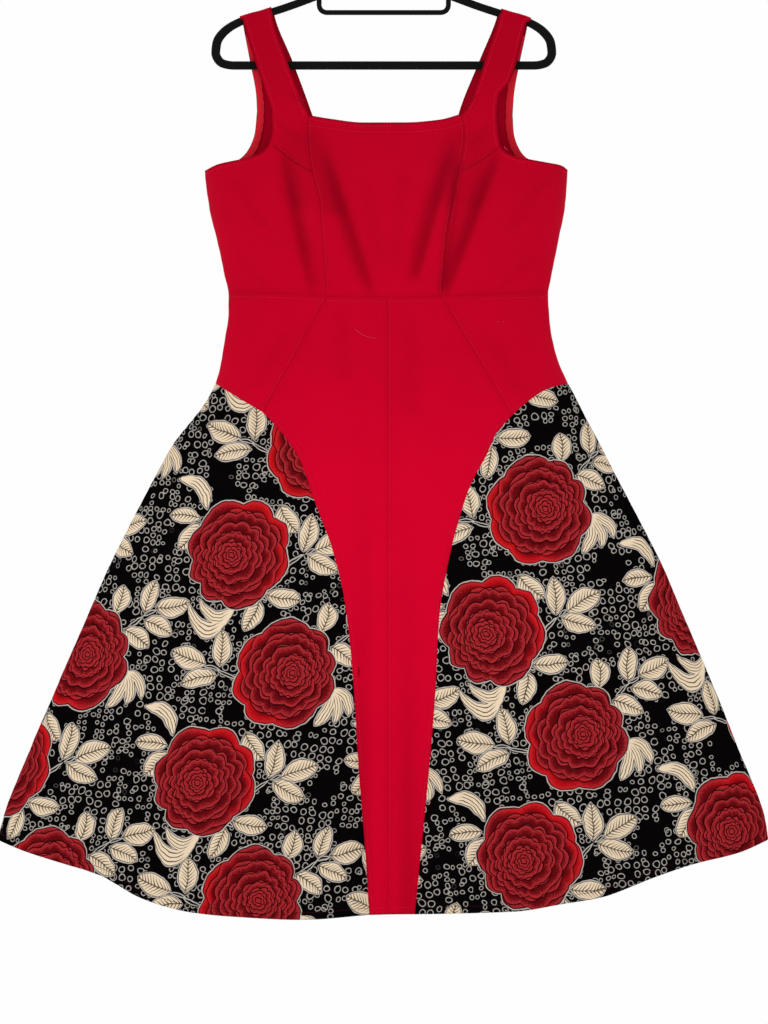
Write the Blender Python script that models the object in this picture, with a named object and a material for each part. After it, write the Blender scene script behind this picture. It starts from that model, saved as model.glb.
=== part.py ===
"""Flare dress with wide straps, hanging on a flocked hanger.

The dress is a shallow hollow tube of cloth. Its front and back are worked out
as sections from the straps down to the hem, and each cut piece is an outline
laid on that tube and thickened to a wall. The pieces meet at their seams.

Sizes in the tables are millimetres. "across" is measured from the dress's
centre line, positive to the right of the picture, and "drop" is measured down
from the inner top of the hook, which is the origin.
"""

import math

import bmesh
import bpy
import numpy as np
from mathutils import Vector
from mathutils.geometry import delaunay_2d_cdt

MM = 0.001

# Cloth
WALL = 1.6
SEAM_GAP = 0.3
BINDING_WALL = 1.0
BINDING_WIDTH = 9.0
DRESS_OFFSET = 5.5
BODICE_MESH = 14.0
SKIRT_MESH = 27.0
EDGE_BAND = 4.5
CLOSEST = 1.2
BINDING_TOP = 186.0
TURN_ROWS = 3
STRAP_BLEND = 80.0
SAME_POINT = 0.6

# Hanger
ARM_THICKNESS = 5.5
STRAP_CLEARANCE = 0.4
STRAP_TURN = ARM_THICKNESS / 2 + STRAP_CLEARANCE + WALL / 2
ARM_SLOPE = math.radians(18)
HANGER_TOP = 97.0
FRAME_STATIONS = 60
TIE_BAR_WIDTH = 6.6
NECK_RADIUS = 7.0
NECK_HEIGHT = 17.0
BORE_DEPTH = 13.0
WIRE = 3.6
HOOK_RADIUS = 21.0
HOOK_TIP = 205
HOOK_END = -45
STEM_TOP = 70.0
STEM_LEAN = 9.0

# Levels
WAIST_SIDE = 519.0
WAIST_CENTRE = 525.5
YOKE_SIDE = 637.0
HEM_SIDE = 1225.0
HEM_CENTRE = 1318.6
BACK_NECK = 327.0
BACK_YOKE_CENTRE = 706.0
BACK_HEM_CENTRE = 1314.0

# How a fold fades at its ends and rounds at its sides, and how a skirt fold grows downward.
FADE_IN = 0.35
FADE_OUT = 0.3
FOLD_ROUND = 1.4
FLARE_POWER = 1.2

# The skirt's slow swing: where it starts, over what drop it grows, how far and how it turns.
SWAY_TOP = 620.0
SWAY_DROP = 700.0
SWAY_DEPTH = 15.0
SWAY_MOST = 1.2
SWAY_POWER = 1.5
SWAY_TURN = 2.3
SWAY_START = 0.5

# The tube's sections: how far it reaches to each side, to the front and to the back.
SECTIONS = np.array([
    # drop, left, right, front, back
    (130.0, 236.0, 231.0, 7.0, 7.0),
    (220.0, 236.0, 231.0, 10.0, 10.5),
    (290.0, 236.0, 231.0, 20.0, 15.0),
    (364.0, 235.6, 230.7, 32.0, 20.0),
    (410.0, 230.0, 227.7, 37.0, 22.0),
    (453.0, 220.0, 219.6, 32.0, 21.0),
    (498.0, 211.0, 210.4, 25.0, 19.0),
    (524.0, 206.0, 206.4, 22.0, 18.0),
    (548.0, 206.0, 207.8, 23.0, 19.0),
    (572.0, 209.0, 210.2, 25.0, 21.0),
    (605.0, 214.1, 217.6, 28.0, 24.0),
    (632.0, 220.5, 229.5, 31.0, 27.0),
    (658.0, 233.0, 243.2, 34.0, 29.0),
    (672.0, 242.5, 250.0, 36.0, 31.0),
    (716.0, 277.5, 273.2, 40.0, 34.5),
    (761.0, 301.5, 296.3, 44.0, 38.0),
    (865.0, 355.4, 350.0, 53.0, 45.0),
    (986.0, 408.6, 401.4, 62.0, 53.0),
    (1097.0, 456.0, 447.5, 70.0, 60.0),
    (1200.0, 496.5, 486.0, 76.0, 65.0),
    (1235.0, 503.0, 491.0, 78.0, 67.0),
    (1340.0, 513.0, 501.0, 82.0, 71.0),
])

# Soft folds: a line down the cloth from top to bottom, how far it stands out
# (a trough is negative) and its half-width at either end.
FRONT_FOLDS = np.array([
    # top across, top drop, bottom across, bottom drop, height, top width, bottom width
    (-140.0, 340.0, -99.0, 505.0, -4.2, 10.0, 9.0),
    (-82.0, 350.0, -22.0, 518.0, -4.0, 10.0, 11.0),
    (67.0, 350.0, 30.0, 500.0, -4.0, 10.0, 10.0),
    (133.0, 340.0, 74.0, 508.0, -4.2, 10.0, 9.0),
    (-88.0, 330.0, -84.0, 480.0, 7.0, 45.0, 34.0),
    (82.0, 330.0, 78.0, 480.0, 7.0, 45.0, 34.0),
    (-170.0, 640.0, -398.0, 1400.0, -17.0, 24.0, 40.0),
    (-130.0, 600.0, -288.0, 1400.0, 15.0, 28.0, 46.0),
    (-70.0, 640.0, -150.0, 1400.0, -8.0, 28.0, 44.0),
    (75.0, 640.0, 160.0, 1400.0, -7.0, 28.0, 44.0),
    (130.0, 610.0, 272.0, 1400.0, 14.0, 28.0, 44.0),
    (170.0, 650.0, 372.0, 1400.0, -14.0, 26.0, 38.0),
])
BACK_FOLDS = np.array([
    # top across, top drop, bottom across, bottom drop, height, top width, bottom width
    (-120.0, 350.0, -80.0, 510.0, -3.5, 11.0, 9.0),
    (110.0, 350.0, 84.0, 510.0, -3.5, 10.0, 10.0),
    (-150.0, 620.0, -352.0, 1400.0, 15.0, 26.0, 42.0),
    (-110.0, 640.0, -236.0, 1400.0, -13.0, 26.0, 40.0),
    (-55.0, 620.0, -118.0, 1400.0, 11.0, 26.0, 44.0),
    (20.0, 640.0, 20.0, 1400.0, -9.0, 26.0, 42.0),
    (75.0, 620.0, 146.0, 1400.0, 12.0, 26.0, 42.0),
    (125.0, 640.0, 258.0, 1400.0, -13.0, 26.0, 40.0),
    (160.0, 630.0, 362.0, 1400.0, 14.0, 26.0, 40.0),
])

# Seams and edges: across and drop, a row for each place where the line bends.
PRINCESS_LEFT = [(-102.0, 291.5), (-102.5, 312.0), (-98.5, 357.0), (-87.0, 405.0),
                 (-83.5, 453.0), (-78.7, 524.0)]
PRINCESS_RIGHT = [(94.0, 290.0), (97.8, 318.0), (91.5, 357.0), (81.5, 405.0),
                  (73.5, 453.0), (68.4, 524.0)]
NECKLINE = [(-102.0, 291.5), (-76.0, 296.0), (-31.0, 301.0), (23.0, 301.0),
            (66.0, 297.5), (94.0, 290.0)]
WAIST_SIDE_LEFT = [(-206.0, WAIST_SIDE), (-140.0, 520.5), (-78.7, 524.0)]
WAIST_MID_LEFT = [(-78.7, 524.0), (-40.0, 525.2), (0.0, WAIST_CENTRE)]
WAIST_MID_RIGHT = [(0.0, WAIST_CENTRE), (35.0, 525.2), (68.4, 524.0)]
WAIST_SIDE_RIGHT = [(68.4, 524.0), (140.0, 521.5), (206.0, WAIST_SIDE)]

STRAP_OUTER_LEFT = [(-190.9, 150.0), (-185.5, 176.0), (-171.8, 221.0), (-150.6, 284.0)]
STRAP_INNER_LEFT = [(-150.5, 140.0), (-148.3, 164.0), (-130.5, 220.0), (-117.5, 255.0),
                    (-109.5, 275.0), (-102.0, 291.5)]
STRAP_OUTER_RIGHT = [(184.0, 150.0), (175.0, 185.0), (157.4, 247.0), (142.7, 267.0), (140.2, 290.0)]
STRAP_INNER_RIGHT = [(146.0, 140.0), (142.8, 164.0), (128.5, 208.0), (119.3, 237.0),
                     (108.9, 266.0), (101.0, 281.5), (94.0, 290.0)]
ARMHOLE_LEFT = [(-150.6, 284.0), (-149.6, 310.0), (-151.5, 323.0), (-160.5, 338.0), (-177.0, 345.5),
                (-193.5, 349.0), (-219.3, 354.6), (-235.6, 362.5)]
ARMHOLE_RIGHT = [(140.2, 290.0), (141.9, 315.0), (146.5, 334.0), (159.0, 343.0), (177.2, 347.5),
                 (202.0, 352.0), (223.0, 356.0), (230.7, 361.5)]

BACK_STRAP_OUTER_LEFT = [(-190.9, 150.0), (-186.5, 177.0), (-178.4, 220.0), (-170.1, 266.0),
                         (-169.2, 285.0)]
BACK_STRAP_INNER_LEFT = [(-150.5, 140.0), (-146.0, 164.0), (-123.5, 220.0), (-98.0, 289.0),
                         (-88.0, 321.0)]
BACK_ARMHOLE_LEFT = [(-169.2, 285.0), (-171.8, 312.0), (-180.0, 334.0), (-193.5, 348.0),
                     (-217.0, 356.5), (-235.6, 362.5)]
BACK_STRAP_OUTER_RIGHT = [(184.0, 150.0), (179.5, 177.0), (168.2, 231.0), (162.4, 266.0),
                          (160.9, 290.0)]
BACK_STRAP_INNER_RIGHT = [(146.0, 140.0), (140.5, 164.0), (118.0, 220.0), (91.0, 289.0),
                          (84.0, 321.0)]
BACK_ARMHOLE_RIGHT = [(160.9, 290.0), (162.4, 313.0), (169.0, 333.0), (180.0, 346.0),
                      (209.0, 355.0), (230.7, 361.5)]
BACK_NECK_LEFT = [(-88.0, 321.0), (-45.0, 326.0), (0.0, BACK_NECK)]
BACK_NECK_RIGHT = [(0.0, BACK_NECK), (43.0, 326.0), (84.0, 321.0)]

YOKE_SEAM_LEFT = [(-78.7, 524.0), (-161.3, 674.0)]
YOKE_SEAM_RIGHT = [(68.4, 524.0), (160.0, 678.0)]
YOKE_EDGE_LEFT = [(-222.6, YOKE_SIDE), (-190.1, 657.0), (-161.3, 674.0)]
YOKE_EDGE_RIGHT = [(160.0, 678.0), (179.3, 661.0), (207.7, 643.0), (231.6, YOKE_SIDE)]
PRINT_SEAM_LEFT = [(-161.3, 674.0), (-134.8, 703.0), (-113.8, 735.0), (-92.9, 793.0), (-71.7, 850.0),
                   (-55.9, 916.0), (-48.0, 981.0), (-43.3, 1039.0), (-37.8, 1132.0),
                   (-30.3, 1224.0), (-24.0, 1319.3)]
PRINT_SEAM_RIGHT = [(160.0, 678.0), (138.9, 702.0), (126.4, 730.0), (110.9, 758.0), (99.3, 786.0),
                    (74.8, 880.0), (65.8, 939.0), (60.4, 1039.0), (51.1, 1150.0),
                    (41.9, 1242.0), (34.4, 1318.6)]
BACK_YOKE_EDGE_LEFT = [(-222.6, YOKE_SIDE), (-170.0, 668.0), (-90.0, 697.0), (0.0, BACK_YOKE_CENTRE)]
BACK_YOKE_EDGE_RIGHT = [(0.0, BACK_YOKE_CENTRE), (90.0, 697.0), (170.0, 668.0), (231.6, YOKE_SIDE)]
HEM_LEFT = [(-502.2, HEM_SIDE), (-467.0, 1238.5), (-411.5, 1255.4), (-373.0, 1267.0),
            (-347.0, 1281.0), (-322.0, 1295.0), (-293.0, 1305.5), (-254.0, 1314.8),
            (-204.0, 1320.7), (-113.5, 1325.5), (-24.0, 1319.3)]
HEM_MID_LEFT = [(-24.0, 1319.3), (0.0, HEM_CENTRE)]
HEM_MID_RIGHT = [(0.0, HEM_CENTRE), (34.4, 1318.6)]
HEM_RIGHT = [(34.4, 1318.6), (91.6, 1317.7), (161.3, 1315.7), (227.0, 1305.0), (276.0, 1296.5),
             (310.0, 1285.0), (339.0, 1273.5), (393.5, 1255.0), (451.5, 1241.0), (490.3, HEM_SIDE)]
BACK_HEM_LEFT = [(-502.2, HEM_SIDE), (-430.0, 1252.0), (-330.0, 1286.0), (-200.0, 1310.0), (0.0, BACK_HEM_CENTRE)]
BACK_HEM_RIGHT = [(0.0, BACK_HEM_CENTRE), (200.0, 1304.0), (330.0, 1272.0), (430.0, 1241.0), (490.3, HEM_SIDE)]

# The hanger's right half, seen from the front: centre of the bar and its width there.
HANGER_HALF = [
    # across, drop, width
    (0.0, 103.5, 12.5),
    (60.0, 126.5, 11.0),
    (118.0, 149.0, 10.2),
    (152.0, 160.2, 10.2),
    (184.0, 169.8, 10.6),
    (205.5, 182.8, 11.4),
    (215.3, 197.5, 11.8),
    (216.8, 211.0, 11.6),
    (209.0, 223.5, 11.2),
    (194.0, 226.6, 11.0),
    (110.0, 226.6, 11.0),
    (36.0, 226.6, 11.0),
]
TIE_BAR_HALF = [(0.0, 158.3), (74.0, 158.3), (80.5, 155.6), (83.4, 149.0), (83.4, 137.5)]

FRONT = -1
BACK = 1


def curve(at, knots, values):
    """A smooth line through a short table that never swings past its rows."""
    step = np.diff(knots)
    slope = np.diff(values) / step
    tangent = np.concatenate([slope[:1], slope[1:] * 0.0, slope[-1:]])
    same_way = slope[:-1] * slope[1:] > 0
    inner = np.where(same_way, 2 * slope[:-1] * slope[1:] / np.where(same_way, slope[:-1] + slope[1:], 1), 0)
    tangent[1:-1] = inner
    at = np.clip(at, knots[0], knots[-1])
    k = np.clip(np.searchsorted(knots, at, side="right") - 1, 0, len(knots) - 2)
    t = (at - knots[k]) / step[k]
    rise = (3 * t * t - 2 * t ** 3) * (values[k + 1] - values[k])
    lean = (t ** 3 - 2 * t * t + t) * step[k] * tangent[k] + (t ** 3 - t * t) * step[k] * tangent[k + 1]
    return values[k] + rise + lean


def smooth_step(t):
    """Ease from 0 to 1."""
    t = np.clip(t, 0.0, 1.0)
    return t * t * (3 - 2 * t)


def tube(column, drop):
    """One column of the section table at a drop."""
    return curve(drop, SECTIONS[:, 0], SECTIONS[:, column])


def share_across(x, drop):
    """Place across the section, -1 at the left side seam and 1 at the right."""
    left = tube(1, drop)
    right = tube(2, drop)
    return np.clip((x - (right - left) / 2) / ((right + left) / 2), -1.0, 1.0)


def roundness(share):
    """Depth of the section as a share of its greatest depth."""
    return np.sqrt(np.clip(1 - np.abs(share) ** 3, 0.0, 1.0))


def arm_top(x):
    """Drop of the hanger arm's upper edge under a place across the dress."""
    reach = np.abs(x + DRESS_OFFSET)
    rows = np.array(HANGER_HALF[:6])
    return curve(reach, rows[:, 0], rows[:, 1] - rows[:, 2] / 2 / math.cos(ARM_SLOPE))


def shoulder(x):
    """Drop where a strap starts to turn over the hanger's arm."""
    return arm_top(x) + ARM_THICKNESS / 2


def folds(face, x, drop):
    """How far the soft folds stand out of the plain tube."""
    total = np.zeros(np.broadcast(x, drop).shape)
    for top_x, top, bottom_x, bottom, height, top_width, bottom_width in (
            FRONT_FOLDS if face == FRONT else BACK_FOLDS):
        along = (drop - top) / (bottom - top)
        held = np.clip(along, 0.0, 1.0)
        middle = top_x + (bottom_x - top_x) * held
        width = top_width + (bottom_width - top_width) * held
        fade = smooth_step(along / FADE_IN) * smooth_step((1 - along) / FADE_OUT)
        if bottom > HEM_SIDE:
            fade = held ** FLARE_POWER
        total = total + height * fade * np.exp(-((x - middle) / width) ** 2 / FOLD_ROUND)
    return total


def sway(share, drop):
    """The skirt's slow swing to front and back, which both of its layers follow."""
    low = np.clip((drop - SWAY_TOP) / SWAY_DROP, 0.0, SWAY_MOST)
    return SWAY_DEPTH * low ** SWAY_POWER * np.sin(SWAY_TURN * share + SWAY_START)


# The cloth laid out flat: its width across is measured along the section from the
# centre line, so that a piece keeps its true size where it turns round the side.
LEVELS = np.arange(130.0, 1341.0, 10.0)
ANGLES = np.linspace(0.0, math.pi, 361)


def flat_tables(face):
    """For each level: flat reach to either side, and both ways between share and angle."""
    reach = []
    share_of_angle = []
    angle_of_share = []
    for level in LEVELS:
        share = -np.cos(ANGLES)
        left = tube(1, level)
        right = tube(2, level)
        x = (right - left) / 2 + share * (right + left) / 2
        y = tube(3 if face == FRONT else 4, level) * roundness(share)
        run = np.concatenate([[0.0], np.cumsum(np.hypot(np.diff(x), np.diff(y)))])
        run = run - np.interp(0.0, x, run)
        reach.append((-run[0], run[-1]))
        part = np.where(run < 0, run / -run[0], run / run[-1])
        share_of_angle.append(part)
        angle_of_share.append(np.interp(np.linspace(-1, 1, 721), part, ANGLES))
    return np.array(reach), np.array(share_of_angle), np.array(angle_of_share)


FLAT = {FRONT: flat_tables(FRONT), BACK: flat_tables(BACK)}


def look_up(grid, drop, place):
    """Read a table between its rows and columns; place runs from 0 to 1 across a row."""
    row = np.clip((drop - LEVELS[0]) / (LEVELS[1] - LEVELS[0]), 0, len(LEVELS) - 1.001)
    column = np.clip(place * (grid.shape[1] - 1), 0, grid.shape[1] - 1.001)
    r = row.astype(int)
    c = column.astype(int)
    fr = row - r
    fc = column - c
    top = grid[r, c] * (1 - fc) + grid[r, c + 1] * fc
    low = grid[r + 1, c] * (1 - fc) + grid[r + 1, c + 1] * fc
    return top * (1 - fr) + low * fr


def flat_reach(face, drop, side):
    """Flat distance from the centre line to the side seam."""
    return np.interp(drop, LEVELS, FLAT[face][0][:, 0 if side < 0 else 1])


def flatten(face, points):
    """Flat places of points given by across and drop."""
    points = np.asarray(points, float)
    x = points[:, 0]
    drop = points[:, 1]
    angle = np.arccos(-share_across(x, drop))
    part = look_up(FLAT[face][1], drop, angle / math.pi)
    reach = np.where(part < 0, flat_reach(face, drop, -1), flat_reach(face, drop, 1))
    return np.column_stack([part * reach, drop])


def lift(face, flat, out=0.0):
    """Points of the cloth's middle surface for flat places, moved out of it by a distance."""
    step = 0.25
    here = raise_cloth(face, flat)
    along = raise_cloth(face, flat + (step, 0.0)) - raise_cloth(face, flat - (step, 0.0))
    down = raise_cloth(face, flat + (0.0, step)) - raise_cloth(face, flat - (0.0, step))
    normal = np.cross(along, down) * -face
    normal /= np.linalg.norm(normal, axis=1)[:, None]
    return here - normal * out


def raise_cloth(face, flat):
    """Points of the cloth's middle surface in the dress's own frame."""
    drop = flat[:, 1]
    held = np.maximum(drop, LEVELS[0])
    left = flat_reach(face, held, -1)
    right = flat_reach(face, held, 1)
    part = flat[:, 0] / np.where(flat[:, 0] < 0, left, right)
    past = np.maximum(np.abs(part) - 1, 0.0) * np.where(part < 0, left, right)
    angle = look_up(FLAT[face][2], held, (np.clip(part, -1, 1) + 1) / 2)
    share = -np.cos(angle)
    x = (tube(2, held) - tube(1, held)) / 2 + share * (tube(2, held) + tube(1, held)) / 2
    turn_from = shoulder(x)
    rest = np.maximum(held, turn_from)
    turned = np.clip(turn_from - drop, 0.0, None) / STRAP_TURN
    depth = tube(3 if face == FRONT else 4, rest) * roundness(share)
    depth = depth + folds(face, x, rest) * (1 - share ** 4)
    depth = STRAP_TURN + (depth - STRAP_TURN) * smooth_step((rest - turn_from) / STRAP_BLEND)
    y = face * (depth * np.cos(turned) - past) + sway(share, rest)
    z = -rest + STRAP_TURN * np.sin(turned)
    return np.column_stack([x + DRESS_OFFSET, y, z])


def trace(rows, spacing):
    """Evenly spaced points on a smooth line through the rows of a seam."""
    rows = np.asarray(rows, float)
    length = np.concatenate([[0.0], np.cumsum(np.hypot(*np.diff(rows, axis=0).T))])
    count = max(2, int(round(length[-1] / spacing)) + 1)
    at = np.linspace(0.0, length[-1], count)
    return np.column_stack([curve(at, length, rows[:, 0]), curve(at, length, rows[:, 1])])


def side_seam(face, side, top, bottom, spacing):
    """Flat points down a side seam."""
    count = max(2, int(round((bottom - top) / spacing)) + 1)
    drop = np.linspace(top, bottom, count)
    return np.column_stack([side * flat_reach(face, drop, side), drop])


def turn_line(face, start, end, turned):
    """Flat points across a strap where it turns over the hanger's arm, after a share of the turn."""
    x = np.linspace(start[0], end[0], 6)
    drop = shoulder(x) - STRAP_TURN * math.pi / 2 * turned
    return np.column_stack([flatten(face, np.column_stack([x, shoulder(x)]))[:, 0], drop])


def strap_edge(face, rows, spacing):
    """Flat points down one edge of a strap, from the shoulder line at its top."""
    shares = np.linspace(1.0, 0.0, TURN_ROWS + 1)
    over = np.vstack([turn_line(face, rows[0], rows[0], share)[:1] for share in shares])
    points = trace(rows, spacing)
    below = points[points[:, 1] > shoulder(points[:, 0]) + spacing * 0.4]
    return np.vstack([over, flatten(face, below)])


def strap_turn(face, inner, outer):
    """Places inside a strap where it turns over the arm."""
    shares = np.linspace(1.0, 0.0, TURN_ROWS + 1)[1:]
    return np.vstack([turn_line(face, inner, outer, share)[1:-1] for share in shares])


def join_edges(*edges):
    """One closed outline from edges that follow each other, with each corner once."""
    outline = [edges[0][0]]
    for edge in edges:
        for point in edge:
            if np.hypot(*(point - outline[-1])) > SAME_POINT:
                outline.append(point)
    if np.hypot(*(outline[0] - outline[-1])) < SAME_POINT:
        outline.pop()
    return np.array(outline)


def inset(outline, distance):
    """The outline moved inward by a distance."""
    before = np.roll(outline, 1, axis=0)
    after = np.roll(outline, -1, axis=0)
    area = np.sum(outline[:, 0] * after[:, 1] - after[:, 0] * outline[:, 1])
    turn = 1.0 if area > 0 else -1.0
    first = outline - before
    second = after - outline
    first = np.column_stack([-first[:, 1], first[:, 0]]) / np.hypot(*first.T)[:, None] * turn
    second = np.column_stack([-second[:, 1], second[:, 0]]) / np.hypot(*second.T)[:, None] * turn
    middle = first + second
    scale = 2 / np.maximum(np.sum(middle * middle, axis=1), 0.6)
    return outline + middle * scale[:, None] * distance


def inside(points, outline):
    """Which points lie inside the outline."""
    x = points[:, 0][:, None]
    y = points[:, 1][:, None]
    a = outline
    b = np.roll(outline, -1, axis=0)
    spans = (a[:, 1] > y) != (b[:, 1] > y)
    rise = np.where(b[:, 1] == a[:, 1], 1e-9, b[:, 1] - a[:, 1])
    crosses = spans & (x < (b[:, 0] - a[:, 0]) * (y - a[:, 1]) / rise + a[:, 0])
    return crosses.sum(axis=1) % 2 == 1


def distance_to(points, outline):
    """Shortest distance from each point to the outline."""
    a = outline
    edge = np.roll(outline, -1, axis=0) - a
    offset = points[:, None, :] - a[None, :, :]
    along = np.clip((offset * edge).sum(axis=2) / (edge ** 2).sum(axis=1), 0.0, 1.0)
    return np.sqrt(((offset - along[:, :, None] * edge) ** 2).sum(axis=2)).min(axis=1)


def fill(outline, spacing, band):
    """Flat places inside the outline in staggered rows, and the triangles between them."""
    low = outline.min(axis=0)
    high = outline.max(axis=0)
    grid = []
    rows = np.arange(low[1] + spacing / 2, high[1], spacing * 0.87)
    for index, row in enumerate(rows):
        start = low[0] + spacing * (0.25 + 0.5 * (index % 2))
        for place in np.arange(start, high[0], spacing):
            grid.append((place, row))
    grid = np.array(grid) if grid else np.zeros((0, 2))
    extra = np.asarray(band, float).reshape(-1, 2)
    if len(extra):
        extra = extra[inside(extra, outline)]
        extra = extra[distance_to(extra, outline) > CLOSEST]
    if len(grid):
        grid = grid[inside(grid, outline)]
        grid = grid[distance_to(grid, outline) > spacing * 0.5]
    if len(extra) and len(grid):
        apart = np.hypot(*(grid[:, None, :] - extra[None, :, :]).transpose(2, 0, 1)).min(axis=1)
        grid = grid[apart > spacing * 0.45]
    places = np.vstack([outline, extra, grid])
    ring = [(k, (k + 1) % len(outline)) for k in range(len(outline))]
    made = delaunay_2d_cdt([Vector(p) for p in places], ring, [], 1, 1e-5)
    flat = np.array([tuple(p) for p in made[0]])
    edges = set()
    for face in made[2]:
        for a, b in zip(face, face[1:] + face[:1]):
            edges.add((a, b))
    rim = [(a, b) for a, b in edges if (b, a) not in edges]
    return flat, [tuple(face) for face in made[2]], rim


def material(name, colour, roughness, metallic=0.0):
    """A plain finish."""
    made = bpy.data.materials.new(name)
    made.use_nodes = True
    shader = made.node_tree.nodes["Principled BSDF"]
    shader.inputs["Base Color"].default_value = (*colour, 1.0)
    shader.inputs["Roughness"].default_value = roughness
    shader.inputs["Metallic"].default_value = metallic
    return made


def add_mesh(name, vertices, faces, finish):
    """A closed mesh object with its faces pointing out."""
    mesh = bpy.data.meshes.new(name)
    mesh.from_pydata([tuple(v) for v in np.asarray(vertices) * MM], [], faces)
    work = bmesh.new()
    work.from_mesh(mesh)
    bmesh.ops.recalc_face_normals(work, faces=work.faces)
    work.to_mesh(mesh)
    work.free()
    mesh.materials.append(finish)
    made = bpy.data.objects.new(name, mesh)
    bpy.context.scene.collection.objects.link(made)
    mesh.shade_smooth()
    mesh.set_sharp_from_angle(angle=math.radians(50))
    return made


def sew(name, face, outline, spacing, finish, wall=WALL, out=0.0, band=()):
    """One cut piece: its outline filled, laid on the tube and thickened to a wall."""
    flat, triangles, rim = fill(inset(outline, SEAM_GAP / 2), spacing, band)
    outer = lift(face, flat, out + wall / 2)
    inner = lift(face, flat, out - wall / 2)
    count = len(flat)
    faces = list(triangles)
    faces += [tuple(v + count for v in reversed(t)) for t in triangles]
    faces += [(b, a, a + count, b + count) for a, b in rim]
    return add_mesh(name, np.vstack([outer, inner]), faces, finish)


def side_band(face, side, top, bottom, spacing):
    """Extra places beside a side seam, where the cloth turns round most."""
    seam = side_seam(face, side, top + spacing * 0.5, bottom, spacing)
    return seam - (side * EDGE_BAND, 0.0)


def make_front(finishes):
    """The front's pieces."""
    red = finishes["red"]
    printed = finishes["print"]
    fine = BODICE_MESH
    wide = SKIRT_MESH

    def edge(rows, spacing):
        return flatten(FRONT, trace(rows, spacing))

    centre = edge([(0.0, WAIST_CENTRE), (0.0, HEM_CENTRE)], wide * 0.8)
    sew("bodice_centre_front", FRONT, join_edges(
        edge(NECKLINE, fine), edge(PRINCESS_RIGHT, fine), edge(WAIST_MID_RIGHT[::-1], fine),
        edge(WAIST_MID_LEFT[::-1], fine), edge(PRINCESS_LEFT[::-1], fine)), fine, red)
    for name, side, outer, inner, armhole, princess, waist in (
            ("left", -1, STRAP_OUTER_LEFT, STRAP_INNER_LEFT, ARMHOLE_LEFT, PRINCESS_LEFT,
             WAIST_SIDE_LEFT),
            ("right", 1, STRAP_OUTER_RIGHT, STRAP_INNER_RIGHT, ARMHOLE_RIGHT, PRINCESS_RIGHT,
             WAIST_SIDE_RIGHT[::-1])):
        underarm = armhole[-1][1]
        sew("bodice_side_front_" + name, FRONT, join_edges(
            turn_line(FRONT, inner[0], outer[0], 1.0), strap_edge(FRONT, outer, fine),
            edge(armhole, fine * 0.7), side_seam(FRONT, side, underarm, WAIST_SIDE, fine),
            edge(waist, fine), edge(princess[::-1], fine),
            strap_edge(FRONT, inner, fine)[::-1]), fine, red,
            band=np.vstack([side_band(FRONT, side, underarm, WAIST_SIDE, fine),
                            strap_turn(FRONT, inner[0], outer[0])]))
    for name, side, waist, waist_mid, slant, yoke_edge, seam, hem, hem_mid in (
            ("left", -1, WAIST_SIDE_LEFT, WAIST_MID_LEFT, YOKE_SEAM_LEFT, YOKE_EDGE_LEFT,
             PRINT_SEAM_LEFT, HEM_LEFT, HEM_MID_LEFT),
            ("right", 1, WAIST_SIDE_RIGHT[::-1], WAIST_MID_RIGHT[::-1], YOKE_SEAM_RIGHT,
             YOKE_EDGE_RIGHT[::-1], PRINT_SEAM_RIGHT, HEM_RIGHT[::-1], HEM_MID_RIGHT[::-1])):
        sew("hip_yoke_front_" + name, FRONT, join_edges(
            edge(waist, fine), edge(slant, fine), edge(yoke_edge[::-1], fine),
            side_seam(FRONT, side, WAIST_SIDE, YOKE_SIDE, fine)[::-1]), wide * 0.8, red,
            band=side_band(FRONT, side, WAIST_SIDE, YOKE_SIDE, fine))
        sew("skirt_centre_front_" + name, FRONT, join_edges(
            edge(slant, fine), edge(seam, wide * 0.8), edge(hem_mid, fine),
            centre[::-1], edge(waist_mid[::-1], fine)), wide, red)
        sew("skirt_print_front_" + name, FRONT, join_edges(
            edge(yoke_edge, fine), edge(seam, wide * 0.8), edge(hem[::-1], wide * 0.75),
            side_seam(FRONT, side, YOKE_SIDE, HEM_SIDE, wide)[::-1]), wide, printed,
            band=side_band(FRONT, side, YOKE_SIDE, HEM_SIDE, wide))


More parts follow.
